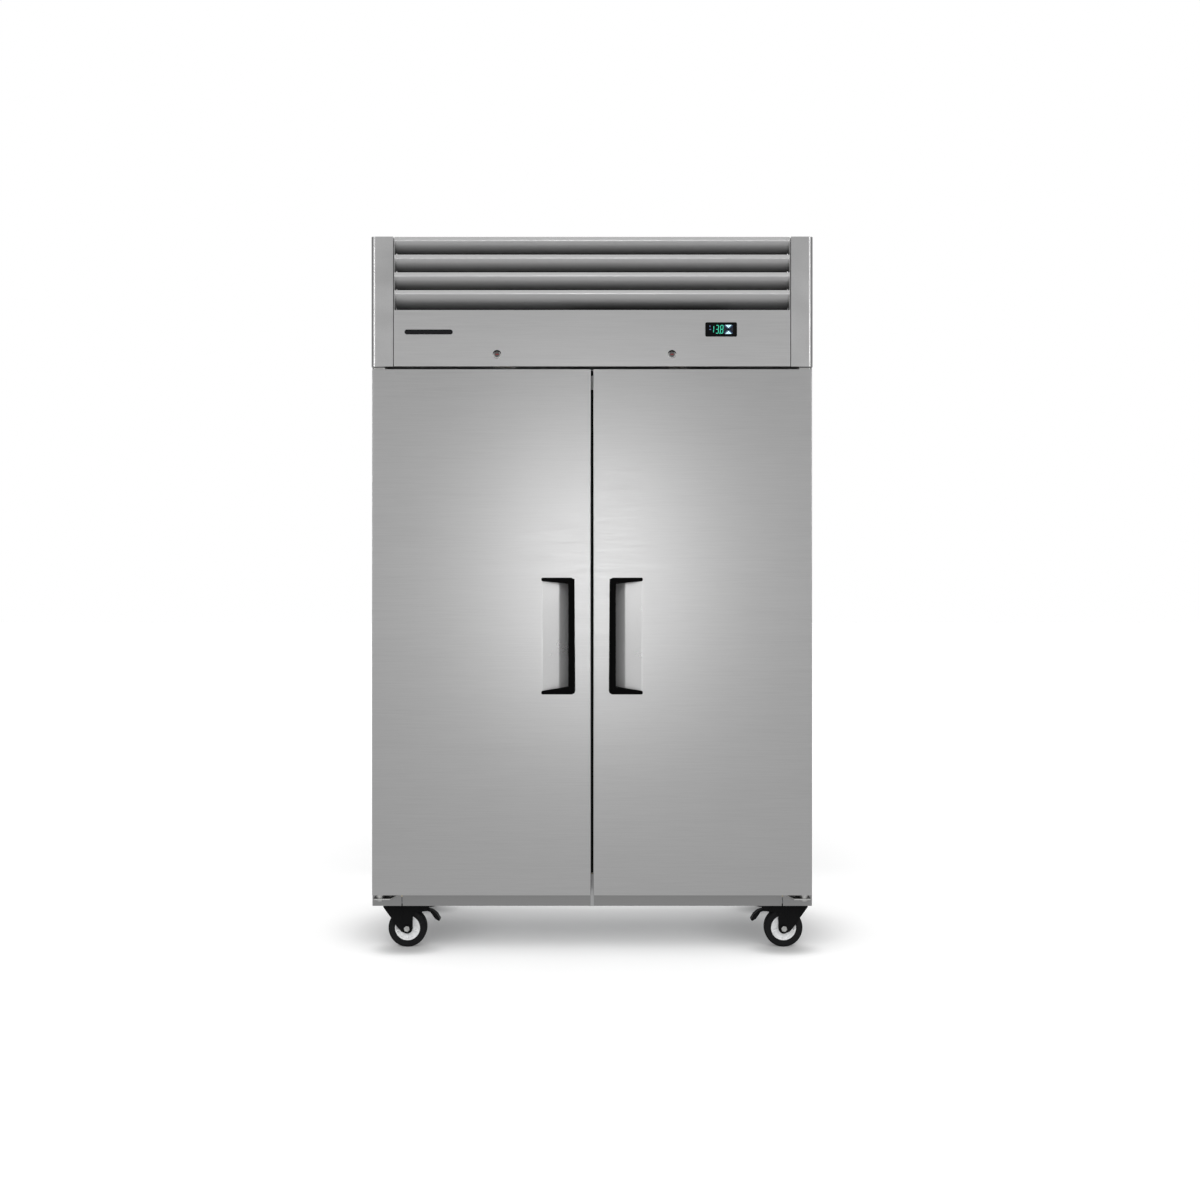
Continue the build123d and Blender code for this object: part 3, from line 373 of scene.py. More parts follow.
# ------------------------------------------------------------------ CAD nodes
# the longest of these that starts a node's name is the one that counts
FINISH = {
    "side_panel": "pillar_steel",
    "back_panel": "galvanised",
    "base_frame": "galvanised",
    "front_frame": "rail_steel",
    "cabinet_insulation": "foam",
    "inner_liner": "inner_steel",
    "mullion": "inner_steel",
    "shelf_supports": "inner_steel",
    "wire_shelves": "wire",
    "evaporator_coil": "fins",
    "evaporator_cover": "inner_steel",
    "evaporator_fan": "fan_black",
    "fan_motors": "motor",
    "compressor": "compressor_black",
    "condenser_coil": "fins",
    "condenser_fan": "fan_black",
    "unit_frame": "galvanised",
    "refrigerant_pipes": "copper",
    "electrical_box": "control_box",
    "header_fascia": "fascia_steel",
    "louvre_blades": "louvre_steel",
    "controller_case": "controller_black",
    "key_": "key_blue",
    "lock_bodies": "lock_steel",
    "lock_plug": "plug_dark",
    "door_skin": "outer_steel",
    "door_core": "foam",
    "door_liner": "inner_steel",
    "door_gasket": "seal",
    "handle_frame": "handle_black",
    "handle_plate": "plate_steel",
    "hinge_brackets": "bracket_steel",
    "hinge_pins": "plated",
    "hinge_bushes": "bush",
    "castor_plates": "fork_black",
    "castor_fork": "fork_black",
    "castor_hub": "wheel_grey",
    "castor_tyre": "tyre_black",
    "brake_pedal": "fork_black",
}
for name, obj in nodes_by_name.items():
    start = next(k for k in sorted(FINISH, key=len, reverse=True) if name.startswith(k))
    paint(obj, FINISH[start])


# ------------------------------------------------------------------ mesh helpers
def make(name, verts, faces, key, body, slot=None, smooth=35.0, bevel=0.0, segments=2):
    """A new piece from a mesh, riding on a body, with its edges smoothed under an angle."""
    mesh = bpy.data.meshes.new(name)
    mesh.from_pydata([tuple(v) for v in verts], [], [tuple(f) for f in faces])
    mesh.validate()
    bm = bmesh.new()
    bm.from_mesh(mesh)
    bmesh.ops.recalc_face_normals(bm, faces=bm.faces)
    bm.to_mesh(mesh)
    bm.free()
    for poly in mesh.polygons:
        poly.use_smooth = True
    mesh.set_sharp_from_angle(angle=math.radians(smooth))
    obj = bpy.data.objects.new(name, mesh)
    bpy.context.scene.collection.objects.link(obj)
    paint(obj, key)
    if bevel:
        mod = obj.modifiers.new("edge", "BEVEL")
        mod.width, mod.segments, mod.limit_method = bevel, segments, "ANGLE"
        mod.angle_limit = math.radians(30)
        mod.harden_normals = True
    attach(obj, body)
    return obj


def prism(outline, low, high, axis):
    """An outline on two axes, run between two levels of the third, as verts and faces."""

    def at(p, level):
        return {"x": (level, p[0], p[1]), "y": (p[0], level, p[1]), "z": (p[0], p[1], level)}[axis]

    n = len(outline)
    verts = [at(p, low) for p in outline] + [at(p, high) for p in outline]
    faces = [list(range(n)), list(range(n, 2 * n))]
    faces += [[i, (i + 1) % n, n + (i + 1) % n, n + i] for i in range(n)]
    return verts, faces


def joined(*shapes):
    """One mesh of several."""
    verts, faces = [], []
    for v, f in shapes:
        base = len(verts)
        verts += list(v)
        faces += [[i + base for i in face] for face in f]
    return verts, faces


def rounded(cx, cy, w, h, r, steps=5):
    """Outline of a rounded rectangle."""
    points = []
    for sx, sy, start in ((1, 1, 0), (-1, 1, 90), (-1, -1, 180), (1, -1, 270)):
        for i in range(steps + 1):
            a = math.radians(start + 90 * i / steps)
            x, y = cx + sx * (w / 2 - r), cy + sy * (h / 2 - r)
            points.append((x + r * math.cos(a), y + r * math.sin(a)))
    return points


def frame_at(centre, direction, spin=0.0):
    """A point as a Vector, a direction, and two axes square to it, turned by spin."""
    z = Vector(direction).normalized()
    x = Matrix.Rotation(spin, 3, z) @ z.orthogonal().normalized()
    return Vector(centre), z, x, z.cross(x)


def tube_faces(rings, steps):
    """Quads between rings of points that follow one another."""
    faces = []
    for k in range(rings - 1):
        for i in range(steps):
            j = (i + 1) % steps
            faces.append([k * steps + i, k * steps + j, (k + 1) * steps + j, (k + 1) * steps + i])
    return faces


SCREW_RINGS = [0.0, 0.16, 0.34, 0.5, 0.58, 0.8, 0.94, 1.0]
# as shares of the head's radius: its height, the recess's depth, its reach, and half its arms' width
HEAD_HEIGHT, RECESS_DEEP, RECESS_REACH, ARM_HALF = 0.42, 0.26, 0.55, 0.12


def screw(centre, direction, r, spin, steps=32):
    """Pan head with a cross recess, as one closed mesh."""
    c, z, x, y = frame_at(centre, direction, spin)
    verts = []
    for ring in SCREW_RINGS:
        for i in range(steps):
            a = 2 * math.pi * i / steps
            height = HEAD_HEIGHT * r * (1 - ring ** 3 * 0.55)
            across = abs(ring * math.sin(2 * a)) * 0.5
            if ring < RECESS_REACH and across < ARM_HALF + (0.1 if ring < 0.2 else 0):
                height -= RECESS_DEEP * r
            verts.append(c + z * height + (x * math.cos(a) + y * math.sin(a)) * ring * r)
    for i in range(steps):
        a = 2 * math.pi * i / steps
        verts.append(c + (x * math.cos(a) + y * math.sin(a)) * r)
    n = len(SCREW_RINGS) + 1
    faces = tube_faces(n, steps)
    faces.append([(n - 1) * steps + i for i in range(steps)])
    return verts, faces


def clean(verts, faces):
    """Points that coincide are made one."""
    bm = bmesh.new()
    made = [bm.verts.new(v) for v in verts]
    for f in faces:
        try:
            bm.faces.new([made[i] for i in f])
        except ValueError:
            pass
    bmesh.ops.remove_doubles(bm, verts=bm.verts, dist=1e-7)
    bm.verts.index_update()
    out = [v.co.copy() for v in bm.verts], [[v.index for v in f.verts] for f in bm.faces]
    bm.free()
    return out


def screws(name, spots, direction, r, body):
    """A set of screws of one body, each turned its own way."""
    shapes = [screw(s, direction, r, rng.uniform(0, math.pi)) for s in spots]
    return make(name, *clean(*joined(*shapes)), "plated", body, "plated", smooth=32.0)


def on_face(name, outlines, face_y, proud, sunk, key, body, slot, **edges):
    """Flat outlines on a face that looks forward, from so far proud of it to so far inside it."""
    shapes = [prism(outline, face_y - proud, face_y + sunk, "y") for outline in outlines]
    return make(name, *joined(*shapes), key, body, slot, **edges)


def middle(lo, hi):
    """Centre of a box."""
    return tuple((a + b) / 2 for a, b in zip(lo, hi))


SIDES = ("left", "right")
FACE_Y = -0.370         # outer face of the doors and of the header
FRAME_Y = -0.298        # front face of the cabinet behind the doors


# ------------------------------------------------------------------ badge and display
BADGE_LOW, BADGE_HIGH = (-0.5095, 1.6925), (-0.3790, 1.7055)
BADGE_PROUD = 0.0022


def badge():
    x, z = middle(BADGE_LOW, BADGE_HIGH)
    width, height = (b - a for a, b in zip(BADGE_LOW, BADGE_HIGH))
    outline = rounded(x, z, width, height, height / 2.2, 8)
    on_face("badge_blank", [outline], FACE_Y, BADGE_PROUD, 0.0, "badge", "service_panel", "controller_black",
            bevel=0.0007, segments=3)


case_lo, case_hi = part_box("controller_case")
case_x, _, case_z = middle(case_lo, case_hi)
bezel_y = case_lo.y
WINDOW_X = -0.0135              # of the window's middle, from the case's
WINDOW_SIZE = (0.047, 0.0290)
SYMBOL = (0.00055, -0.00025)    # lit symbols, just in front of the window
STROKE = 0.0016                 # width of a digit's bar
STROKE_GAP = 0.00022            # between a bar's tip and its digit's corner
LEAN = 0.06                     # of the digits
SEGMENTS = {"1": "bc", "3": "abgcd", "8": "abcdefg"}
DIGITS = [("1", -0.0235, 0.0062, 0.0176), ("3", -0.0108, 0.0068, 0.0214), ("8", 0.0014, 0.0068, 0.0214)]


def bar_across(x, z, w):
    """Bar along the width, pointed at both ends."""
    half = STROKE / 2
    a, b = x - w / 2 + STROKE_GAP, x + w / 2 - STROKE_GAP
    return [(a, z), (a + half, z + half), (b - half, z + half), (b, z), (b - half, z - half),
            (a + half, z - half)]


def bar_upright(x, low, high):
    """Bar along the height, pointed at both ends."""
    half = STROKE / 2
    low, high = low + STROKE_GAP, high - STROKE_GAP
    return [(x, low), (x + half, low + half), (x + half, high - half), (x, high), (x - half, high - half),
            (x - half, low + half)]


def digit_bar(which, x, z, w, h):
    """One of a seven-segment digit's bars, by its usual letter."""
    top, low, left, right = z + h / 2, z - h / 2, x - w / 2, x + w / 2
    if which in "agd":
        return bar_across(x, {"a": top, "g": z, "d": low}[which], w)
    return bar_upright(right if which in "bc" else left, *((z, top) if which in "bf" else (low, z)))


def display():
    window = rounded(case_x + WINDOW_X, case_z, *WINDOW_SIZE, 0.002, 5)
    on_face("display_window", [window], bezel_y, 0.0003, 0.0002, "window", "service_panel",
            "controller_black")
    bars = []
    for char, x, w, h in DIGITS:
        for which in SEGMENTS[char]:
            outline = digit_bar(which, case_x + x, case_z, w, h)
            bars.append([(px + (pz - case_z) * LEAN, pz) for px, pz in outline])
    on_face("display_digits", bars, bezel_y, *SYMBOL, "digit_green", "service_panel", "key_blue")
    point = rounded(case_x - 0.0046, case_z - 0.0112, 0.0018, 0.0018, 0.0007, 3)
    on_face("display_point", [point], bezel_y, *SYMBOL, "digit_green", "service_panel", "key_blue")
    marks = [rounded(case_x - 0.0305, case_z + 0.0082, 0.0020, 0.0042, 0.0006, 3),
             rounded(case_x - 0.0300, case_z - 0.0004, 0.0042, 0.0022, 0.0006, 3)]
    on_face("display_marks", marks, bezel_y, *SYMBOL, "mark_blue", "service_panel", "key_blue")


# ------------------------------------------------------------------ keys
up_lo, up_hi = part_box("key_up")
down_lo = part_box("key_down")[0]
key_x, key_z = (up_lo.x + up_hi.x) / 2, (up_hi.z + down_lo.z) / 2
SIDE_KEY = (0.0042, 0.0122, 0.0078)             # reach of its tip and its base, half height of its base
BAR_FROM, BAR_TO = (0.0016, 0.0016), (0.0118, 0.0112)
BAR_HALF = 0.00042
ARROW_HALF, ARROW_FOOT, ARROW_TIP = 0.0017, 0.0004, 0.0014
ARROW_INSET = 0.0028                            # of its middle, from the key's outer edge


def side_keys():
    """The left and right keys, which are marks on the case."""
    tip, base, half = SIDE_KEY
    outlines = [[(key_x + s * tip, key_z), (key_x + s * base, key_z + half), (key_x + s * base, key_z - half)]
                for s in (-1, 1)]
    on_face("keys_left_right", outlines, bezel_y, 0.0005, 0.0001, "key_dark", "service_panel",
            "controller_black", bevel=0.0002)


def key_bars():
    """Diagonal lines between the four keys."""
    outlines = []
    for sx in (-1, 1):
        for sz in (-1, 1):
            a = (key_x + sx * BAR_FROM[0], key_z + sz * BAR_FROM[1])
            b = (key_x + sx * BAR_TO[0], key_z + sz * BAR_TO[1])
            dx, dz = b[0] - a[0], b[1] - a[1]
            length = math.hypot(dx, dz)
            ox, oz = -dz / length * BAR_HALF, dx / length * BAR_HALF
            outlines.append([(a[0] + ox, a[1] + oz), (b[0] + ox, b[1] + oz), (b[0] - ox, b[1] - oz),
                             (a[0] - ox, a[1] - oz)])
    on_face("key_bars", outlines, bezel_y, 0.0004, 0.0001, "mark_blue", "service_panel", "key_blue")


def key_icons():
    """An arrow on each of the two keys that move."""
    for name, face_y, edge, way in (("up", up_lo.y, up_hi.z, 1), ("down", down_lo.y, down_lo.z, -1)):
        z = edge - way * ARROW_INSET
        arrow = [(key_x - ARROW_HALF, z - way * ARROW_FOOT), (key_x, z + way * ARROW_TIP),
                 (key_x + ARROW_HALF, z - way * ARROW_FOOT)]
        on_face(f"key_icon_{name}", [arrow], face_y, 0.00018, 0.0001, "key_dark", f"key_{name}",
                "controller_black")


# ------------------------------------------------------------------ locks
PLUG_R = 0.0075
SHADOW_CRESCENT_R = (0.0074, 0.0112)
SHADOW_CRESCENT_SPAN = (5, 178)            # degrees, over the lock's upper edge
SLOT_SIZE = (0.0084, 0.0015)


def arc_band(x, z, r0, r1, start, end, steps=24):
    """Crescent-like band, widest in its middle."""
    outer, inner = [], []
    for i in range(steps + 1):
        t = i / steps
        a = math.radians(start + (end - start) * t)
        thick = max(0.12, math.sin(math.pi * t) ** 0.6)
        ri = r1 - (r1 - r0) * thick
        outer.append((x + r1 * math.cos(a), z + r1 * math.sin(a)))
        inner.append((x + ri * math.cos(a), z + ri * math.sin(a)))
    return outer + inner[::-1]


def lock(side):
    """Black crescent over a lock's upper edge, standing for the shadow there (painted shadow), and the insert
    in its key slot.
    """
    lo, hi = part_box(f"lock_plug_{side}")
    x, z = lo.x + PLUG_R, (lo.z + hi.z) / 2
    # painted shadow: a black crescent over the lock's upper edge
    on_face(f"lock_hood_{side}", [arc_band(x, z, *SHADOW_CRESCENT_R, *SHADOW_CRESCENT_SPAN)], FACE_Y, 0.0032, -0.0019, "hood_black",
            "service_panel", "controller_black", bevel=0.0003)
    on_face(f"lock_slot_insert_{side}", [rounded(x, z, *SLOT_SIZE, 0.0006, 3)], FACE_Y, 0.0014, -0.0004,
            "slot_red", f"{side}_lock", "plated")


# ------------------------------------------------------------------ filter and seals
FILTER_COLS, FILTER_ROWS = 120, 22
QUILT, QUILT_SWELL = 4, 0.0009          # cells and height of one bulge of the filter
FILTER_GAP, FILTER_BACK = 0.0022, 0.0052    # of its two faces, behind the louvres
FILTER_ROUGH = 0.0002


def louvre_filter():
    """Open-cell filter behind the louvres, quilted and slightly uneven."""
    lo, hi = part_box("louvre_blades")
    cols, rows = FILTER_COLS, FILTER_ROWS
    x0, x1, z0, z1 = lo.x + 0.001, hi.x - 0.001, lo.z - 0.004, hi.z - 0.006
    front, back = [], []
    for j in range(rows + 1):
        for i in range(cols + 1):
            x, z = x0 + (x1 - x0) * i / cols, z0 + (z1 - z0) * j / rows
            swell = QUILT_SWELL * math.sin(math.pi * i / QUILT) * math.sin(math.pi * j / QUILT)
            front.append((x, hi.y + FILTER_GAP + swell + rng.uniform(-FILTER_ROUGH, FILTER_ROUGH), z))
            back.append((x, hi.y + FILTER_BACK, z))
    w, base = cols + 1, len(front)
    faces = [[j * w + i, j * w + i + 1, (j + 1) * w + i + 1, (j + 1) * w + i]
             for j in range(rows) for i in range(cols)]
    faces += [[base + v for v in f[::-1]] for f in faces]
    rim = list(range(w)) + [j * w + cols for j in range(1, rows + 1)]
    rim += [rows * w + i for i in range(cols - 1, -1, -1)] + [j * w for j in range(rows - 1, 0, -1)]
    faces += [[a, b, base + b, base + a] for a, b in zip(rim, rim[1:] + rim[:1])]
    make("louvre_filter", front + back, faces, "filter_black", "service_panel", "seal", smooth=60.0)


# section of the black strip that stands for the shade under the header (painted shade)
SHADE_STRIP_SECTION = [(-0.2980, 1.5905), (-0.2996, 1.5920), (-0.3004, 1.5975), (-0.2996, 1.6030), (-0.2980, 1.6040)]
SHADE_STRIP_REACH = 0.600
BREAKER_HALF = [(0.0128, FRAME_Y), (0.0116, -0.2994), (0.004, -0.2998)]
BREAKER_FOOT = 0.2165


def cabinet_strips():
    """Black strip along the top of the cabinet's face, standing for the shade in the gap under the header
    (painted shade), and the breaker strip on the post between the doors.
    """
    # painted shade: a black strip in the shadowed gap under the header
    seal = prism(SHADE_STRIP_SECTION, -SHADE_STRIP_REACH, SHADE_STRIP_REACH, "x")
    make("header_shade_strip", *seal, "breaker_black", "cabinet", "seal", smooth=50.0)
    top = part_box("mullion")[1].z - 0.0005
    section = [(-x, y) for x, y in BREAKER_HALF] + BREAKER_HALF[::-1]
    strip = prism(section, BREAKER_FOOT, top, "z")
    make("mullion_breaker", *strip, "breaker_black", "cabinet", "seal", smooth=50.0)


# ------------------------------------------------------------------ door gaskets
# bellows and magnet pocket: in from the gasket's outer edge, and back from its face on the door
GASKET_PROFILE = [
    (0.0005, 0.0000), (0.0005, 0.0016), (0.0030, 0.0022), (0.0006, 0.0036), (0.0032, 0.0050),
    (0.0008, 0.0064), (0.0008, 0.0098), (0.0020, 0.0113), (0.0120, 0.0113), (0.0132, 0.0098),
    (0.0132, 0.0066), (0.0108, 0.0052), (0.0134, 0.0038), (0.0110, 0.0024), (0.0135, 0.0016),
    (0.0135, 0.0000),
]


def gasket_bellows(side):
    """The profile run round the door, mitred at its four corners."""
    lo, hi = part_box(f"door_gasket_{side}")
    corners = ((0, 0), (1, 0), (1, 1), (0, 1))
    verts = [(hi.x - u if sx else lo.x + u, lo.y + y, hi.z - u if sz else lo.z + u)
             for sx, sz in corners for u, y in GASKET_PROFILE]
    n = len(GASKET_PROFILE)
    faces = []
    for c in range(4):
        d = (c + 1) % 4
        for k in range(n):
            m = (k + 1) % n
            faces.append([c * n + k, d * n + k, d * n + m, c * n + m])
    gasket = make(f"gasket_bellows_{side}", verts, faces, "seal", f"{side}_door", "seal", smooth=50.0)
    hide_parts(f"door_gasket_{side}")


# ------------------------------------------------------------------ screws and inlet
BACK_SCREW_R, COVER_SCREW_R, INLET_SCREW_R, HINGE_SCREW_R = 0.0048, 0.0042, 0.0024, 0.0046
BACK_EDGE = 0.018               # of the back panel's screws, in from its side edges
BACK_SIDE_Z = (0.16, 0.50, 0.85, 1.20, 1.56, 1.74, 1.93)
BACK_ROWS_X, BACK_ROWS_Z = (-0.40, -0.20, 0.0, 0.20, 0.40), (0.145, 1.60, 1.94)
COVER_X, COVER_EDGE = (-0.48, 0.0, 0.48), 0.012
INLET_X, INLET_Z = 0.470, 1.663
INLET_OUTER, INLET_INNER = (0.050, 0.034, 0.004), (0.024, 0.016, 0.003)     # width, height, corner
INLET_PROUD, INLET_DEEP, INLET_SCREW_X = 0.0022, 0.020, 0.0195
HINGE_SCREW_X, HINGE_SCREW_Y = (0.588, 0.556), -0.318
HINGE_PLATE = 0.0035


def panel_screws():
    """Screws of the back panel and of the evaporator cover."""
    lo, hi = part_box("back_panel")
    spots = [(x, hi.y, z) for z in BACK_SIDE_Z for x in (lo.x + BACK_EDGE, hi.x - BACK_EDGE)]
    spots += [(x, hi.y, z) for x in BACK_ROWS_X for z in BACK_ROWS_Z]
    screws("back_panel_screws", spots, (0, 1, 0), BACK_SCREW_R, "cabinet")
    lo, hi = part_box("evaporator_cover")
    spots = [(x, lo.y, z) for x in COVER_X for z in (lo.z + COVER_EDGE, hi.z - COVER_EDGE)]
    screws("evaporator_cover_screws", spots, (0, -1, 0), COVER_SCREW_R, "cabinet")


def inlet():
    """Frame and recess of the mains inlet, on the back panel."""
    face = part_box("back_panel")[1].y
    outer, inner = (rounded(INLET_X, INLET_Z, *size, 5) for size in (INLET_OUTER, INLET_INNER))
    rim = face + INLET_PROUD
    levels = [(outer, face), (outer, rim), (inner, rim), (inner, face - INLET_DEEP)]
    verts = [(x, level, z) for ring, level in levels for x, z in ring]
    n = len(outer)
    faces = [[k * n + i, k * n + (i + 1) % n, (k + 1) * n + (i + 1) % n, (k + 1) * n + i]
             for k in range(len(levels) - 1) for i in range(n)]
    make("inlet_socket", verts, faces, "dark_hole", "cabinet", "controller_black", bevel=0.0003)
    spots = [(INLET_X + s * INLET_SCREW_X, rim, INLET_Z) for s in (-1, 1)]
    screws("inlet_screws", spots, (0, 1, 0), INLET_SCREW_R, "cabinet")


def hinge_screws():
    """Screws on top of the lower hinge plates."""
    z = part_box("hinge_brackets")[0].z + HINGE_PLATE
    spots = [(s * x, HINGE_SCREW_Y, z) for s in (-1, 1) for x in HINGE_SCREW_X]
    screws("hinge_screws_lower", spots, (0, 0, 1), HINGE_SCREW_R, "cabinet")


# ------------------------------------------------------------------ castors
BOLT_R, BOLT_HEIGHT, BOLT_GAP = 0.0084, 0.0012, 0.0001
# radius and half thickness of each ring, and how far its wall is from the wheel's middle
TYRE_RINGS, TYRE_WALL = [(0.0405, 0.0009), (0.0378, 0.0006)], 0.0158
RIM_RINGS, RIM_WALL = [(0.0325, 0.0010)], 0.0128
RING_FOOT = 0.0006              # how deep a ring's foot is in its wall


def nut(centre, direction, r, h, steps=24):
    """Bolt head: a hexagon with a turned, slightly dished face."""
    c, z, x, y = frame_at(centre, direction)
    rows = [(r, 0.0, 6), (r, h * 0.82, 6), (r * 0.84, h, 24), (r * 0.45, h, 24), (r * 0.42, h * 0.9, 24)]
    verts = []
    for radius, level, sides in rows:
        for i in range(steps):
            a = 2 * math.pi * i / steps
            reach = radius
            if sides == 6:
                reach = radius * math.cos(math.pi / 6) / math.cos((a % (math.pi / 3)) - math.pi / 6)
            verts.append(c + z * level + (x * math.cos(a) + y * math.sin(a)) * reach)
    faces = tube_faces(len(rows), steps)
    faces += [list(range(steps)), [(len(rows) - 1) * steps + i for i in range(steps)]]
    return verts, faces


def wall_ring(x, y, z, radius, thick, way, steps=72):
    """Raised ring on a wheel's wall, on the side that way says."""
    top = thick * 0.5
    profile = [(radius - thick, -RING_FOOT), (radius - thick * 0.6, top), (radius + thick * 0.6, top),
               (radius + thick, -RING_FOOT)]
    verts, faces, n = [], [], len(profile)
    for i in range(steps):
        a = 2 * math.pi * i / steps
        verts += [(x + r * math.cos(a), y + way * h, z + r * math.sin(a)) for r, h in profile]
    for i in range(steps):
        j = (i + 1) % steps
        for k in range(n):
            m = (k + 1) % n
            faces.append([i * n + k, j * n + k, j * n + m, i * n + m])
    return verts, faces


def castor(end, side):
    """Plated faces of the axle bolt, and the rings on tyre and rim."""
    lo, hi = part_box(f"castor_fork_{end}_{side}")
    x, y, z = middle(*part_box(f"castor_tyre_{end}_{side}"))
    heads = [nut((x, face + way * BOLT_GAP, z), (0, way, 0), BOLT_R, BOLT_HEIGHT)
             for way, face in ((-1, lo.y), (1, hi.y))]
    make(f"axle_faces_{end}_{side}", *joined(*heads), "plated", f"{end}_{side}_castor", "plated")
    for part, rings, wall, key in (("tyre_wall_rings", TYRE_RINGS, TYRE_WALL, "tyre_black"),
                                   ("rim_rings", RIM_RINGS, RIM_WALL, "wheel_grey")):
        shapes = [wall_ring(x, y + way * wall, z, *ring, way) for way in (-1, 1) for ring in rings]
        make(f"{part}_{end}_{side}", *joined(*shapes), key, f"{end}_{side}_wheel", key, smooth=50.0)


badge()
display()
side_keys()
key_bars()
key_icons()
for side in SIDES:
    lock(side)
louvre_filter()
cabinet_strips()
for side in SIDES:
    gasket_bellows(side)
panel_screws()
inlet()
hinge_screws()
for end in ("front", "rear"):
    for side in SIDES:
        castor(end, side)


# ------------------------------------------------------------------ light
# grey of the room by the height of a direction, from straight down (0) to straight up (1)
ROOM_BY_HEIGHT = [(0.0, 0.16), (0.22, 0.32), (0.36, 0.44), (0.43, 0.43), (0.51, 0.345), (0.60, 0.32),
                  (1.0, 0.35)]
# factor by depth, from the camera's side (0) to behind the object (1): dim walls beside it draw its edges
ROOM_BY_DEPTH = [(0.0, 1.0), (0.42, 1.0), (0.56, 0.30), (0.72, 0.30), (0.86, 1.15), (1.0, 1.25)]
scene = bpy.context.scene


def world():
    """White to the camera, and a grey room to everything else."""
    w = bpy.data.worlds.new("studio")
    scene.world = w
    w.use_nodes = True
    tree = w.node_tree
    tree.nodes.clear()
    new, link = tree.nodes.new, tree.links.new
    coord = new("ShaderNodeTexCoord")
    split = new("ShaderNodeSeparateXYZ")
    link(coord.outputs["Generated"], split.inputs["Vector"])

    def graded(axis, stops):
        scale = new("ShaderNodeMapRange")
        scale.inputs["From Min"].default_value = -1.0
        scale.inputs["From Max"].default_value = 1.0
        link(split.outputs[axis], scale.inputs["Value"])
        ramp = new("ShaderNodeValToRGB")
        link(scale.outputs["Result"], ramp.inputs["Fac"])
        while len(ramp.color_ramp.elements) < len(stops):
            ramp.color_ramp.elements.new(0.5)
        for element, (at, level) in zip(ramp.color_ramp.elements, stops):
            element.position = at
            element.color = (*grey(level), 1)
        return ramp.outputs["Color"]

    both = new("ShaderNodeMixRGB")
    both.blend_type = "MULTIPLY"
    both.inputs["Fac"].default_value = 1.0
    link(graded("Z", ROOM_BY_HEIGHT), both.inputs["Color1"])
    link(graded("Y", ROOM_BY_DEPTH), both.inputs["Color2"])
    white, room = new("ShaderNodeBackground"), new("ShaderNodeBackground")
    white.inputs["Color"].default_value = (1, 1, 1, 1)
    white.inputs["Strength"].default_value = 1.0
    link(both.outputs["Color"], room.inputs["Color"])
    path, mix = new("ShaderNodeLightPath"), new("ShaderNodeMixShader")
    link(path.outputs["Is Camera Ray"], mix.inputs["Fac"])
    link(room.outputs["Background"], mix.inputs[1])
    link(white.outputs["Background"], mix.inputs[2])
    link(mix.outputs["Shader"], new("ShaderNodeOutputWorld").inputs["Surface"])


def area(name, place, look_at, size, watts, shape="RECTANGLE"):
    """Area lamp of a width and a height, unseen by the camera."""
    lamp = bpy.data.lights.new(name, "AREA")
    lamp.shape, lamp.energy = shape, watts
    lamp.size, lamp.size_y = size
    obj = bpy.data.objects.new(name, lamp)
    scene.collection.objects.link(obj)
    obj.location = place
    obj.rotation_euler = (Vector(look_at) - Vector(place)).to_track_quat("-Z", "Y").to_euler()
    obj.visible_camera = False
    return obj


def sun(name, come_from, spread, strength):
    """Broad soft light that only matt surfaces see."""
    lamp = bpy.data.lights.new(name, "SUN")
    lamp.angle, lamp.energy = math.radians(spread), strength
    obj = bpy.data.objects.new(name, lamp)
    scene.collection.objects.link(obj)
    obj.rotation_euler = Vector(come_from).to_track_quat("Z", "Y").to_euler()
    obj.visible_glossy = False
    return obj


def only_on(lamp, obj):
    """Makes a lamp light one object alone."""
    alone = bpy.data.collections.new(f"{lamp.name}_only")
    alone.objects.link(obj)
    lamp.light_linking.receiver_collection = alone


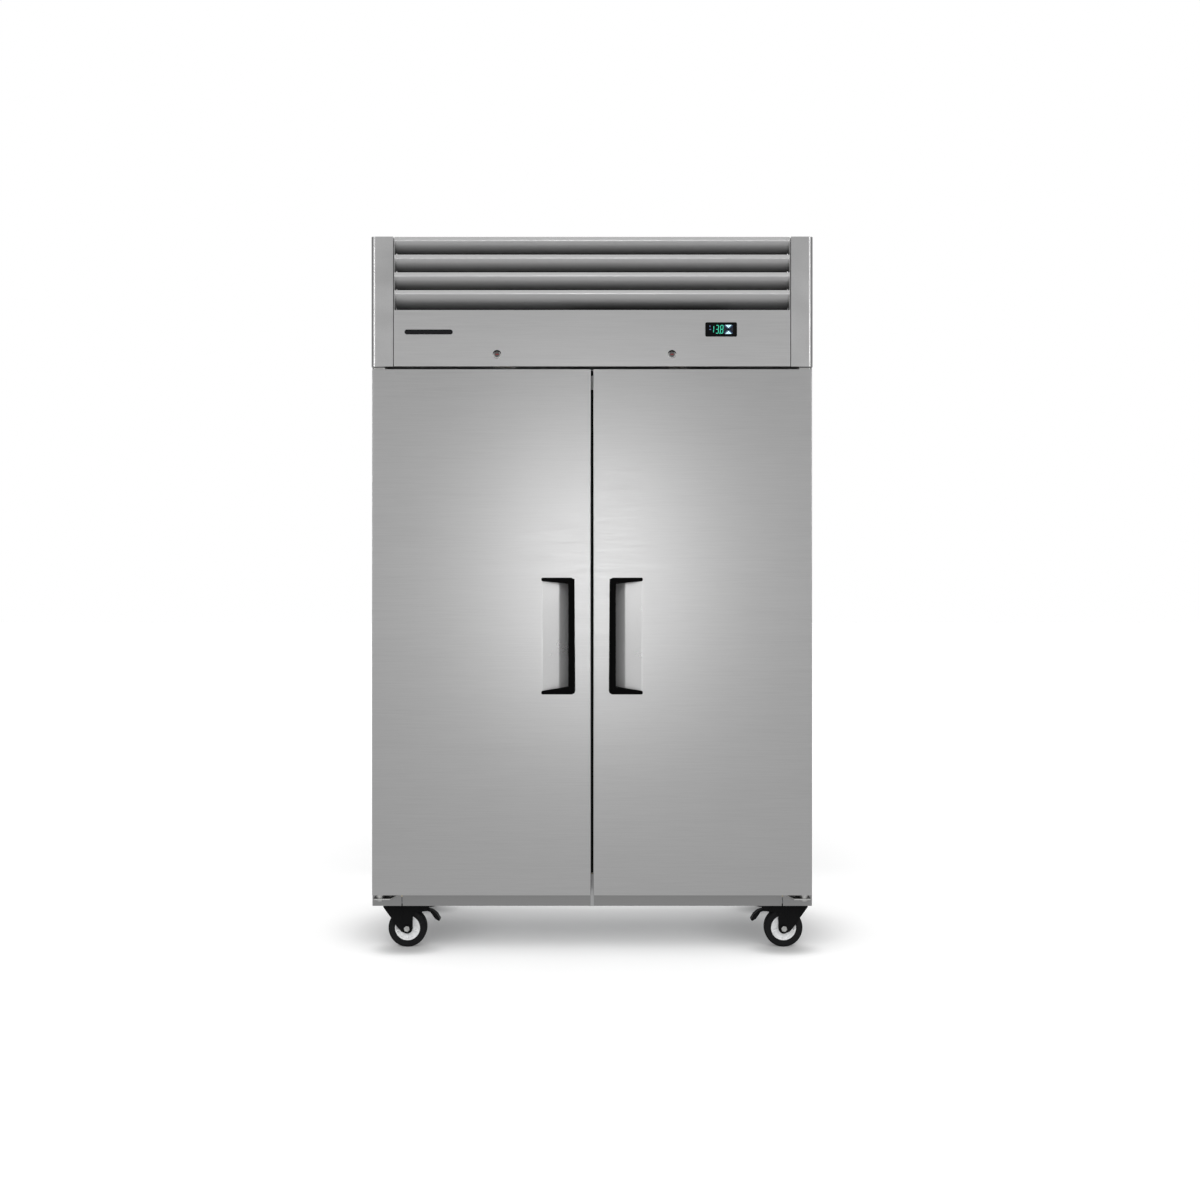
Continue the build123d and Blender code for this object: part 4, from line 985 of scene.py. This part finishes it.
def lights():
    """All lamps. The one behind the cabinet is returned, since it is for the floor alone."""
    area("key_round", (-0.02, -5.0, 1.16), (-0.02, -0.37, 1.06), (0.6, 1.5), 6.4, "ELLIPSE")
    for side in (-1, 1):
        area(f"side_{side}", (side * 2.25, -2.7, 1.97), (side * 0.3, -0.37, 1.3), (0.35, 1.9), 9.0)
    sun("sun_top", (0.0, 0.0, 1.0), 140.0, 1.4)
    sun("sun_front", (0.0, -1.0, 0.80), 50.0, 1.6)
    strip = area("louvre_strip", (0.0, -2.6, 1.25), (0.0, -0.37, 1.85), (4.4, 0.10), 9.0)
    only_on(strip, nodes_by_name["louvre_blades"])
    behind = area("behind", (0.0, 0.92, 0.25), (0.0, 0.1, 0.05), (0.8, 0.3), 4.1)
    behind.visible_glossy = False
    return behind


# ------------------------------------------------------------------ floor and camera
FLOOR_X, FLOOR_Y = (-30, 30), (-30, 60)
FLOOR_GLOW = 0.20
# shade round each castor, and one under each side: its reach along the axes and the light left in its middle
CASTOR_SHADE, CASTOR_SHADE_Y = ((0.14, 0.11, 1.0), 0.56), -0.045
SIDE_SHADE, SIDE_SHADE_Y = ((0.31, 0.42, 1.0), 0.70), -0.04


def floor_shade():
    """Middle, reach and share of light left of every painted shadow on the floor."""
    patches = []
    for side in SIDES:
        for end in ("front", "rear"):
            x, y, _ = middle(*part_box(f"castor_tyre_{end}_{side}"))
            patches.append(((x, y + CASTOR_SHADE_Y, 0.0), *CASTOR_SHADE))
        patches.append(((x, SIDE_SHADE_Y, 0.0), *SIDE_SHADE))
    return patches


def make_floor():
    s = Shader("floor_white", grey(0.9), 0.0, 0.9)
    s.tint(s.noise((3.0,) * 3), 0.3, 0.7, grey(0.89), grey(0.91))
    s.bsdf.inputs["Emission Strength"].default_value = FLOOR_GLOW
    # painted shadows: the patches darken the floor's colour and glow
    shade = None
    for spot in floor_shade():
        patch = s.patch(*spot)
        shade = patch if shade is None else s.product(shade, patch)
    s.darken(shade)
    (x0, x1), (y0, y1) = FLOOR_X, FLOOR_Y
    mesh = bpy.data.meshes.new("floor")
    mesh.from_pydata([(x0, y0, 0), (x1, y0, 0), (x1, y1, 0), (x0, y1, 0)], [], [[0, 1, 2, 3]])
    obj = bpy.data.objects.new("floor", mesh)
    scene.collection.objects.link(obj)
    mesh.materials.append(s.mat)
    obj.visible_glossy = False
    return obj


def camera():
    data = bpy.data.cameras.new("camera")
    data.lens, data.sensor_width = 45.25, 36.0
    obj = bpy.data.objects.new("camera", data)
    scene.collection.objects.link(obj)
    obj.location = (0.0216, -4.470, 0.9705)
    obj.rotation_euler = (math.pi / 2, 0.0, 0.0)
    scene.camera = obj


world()
floor_lamp = lights()
only_on(floor_lamp, make_floor())
camera()
scene.view_settings.view_transform = "Standard"
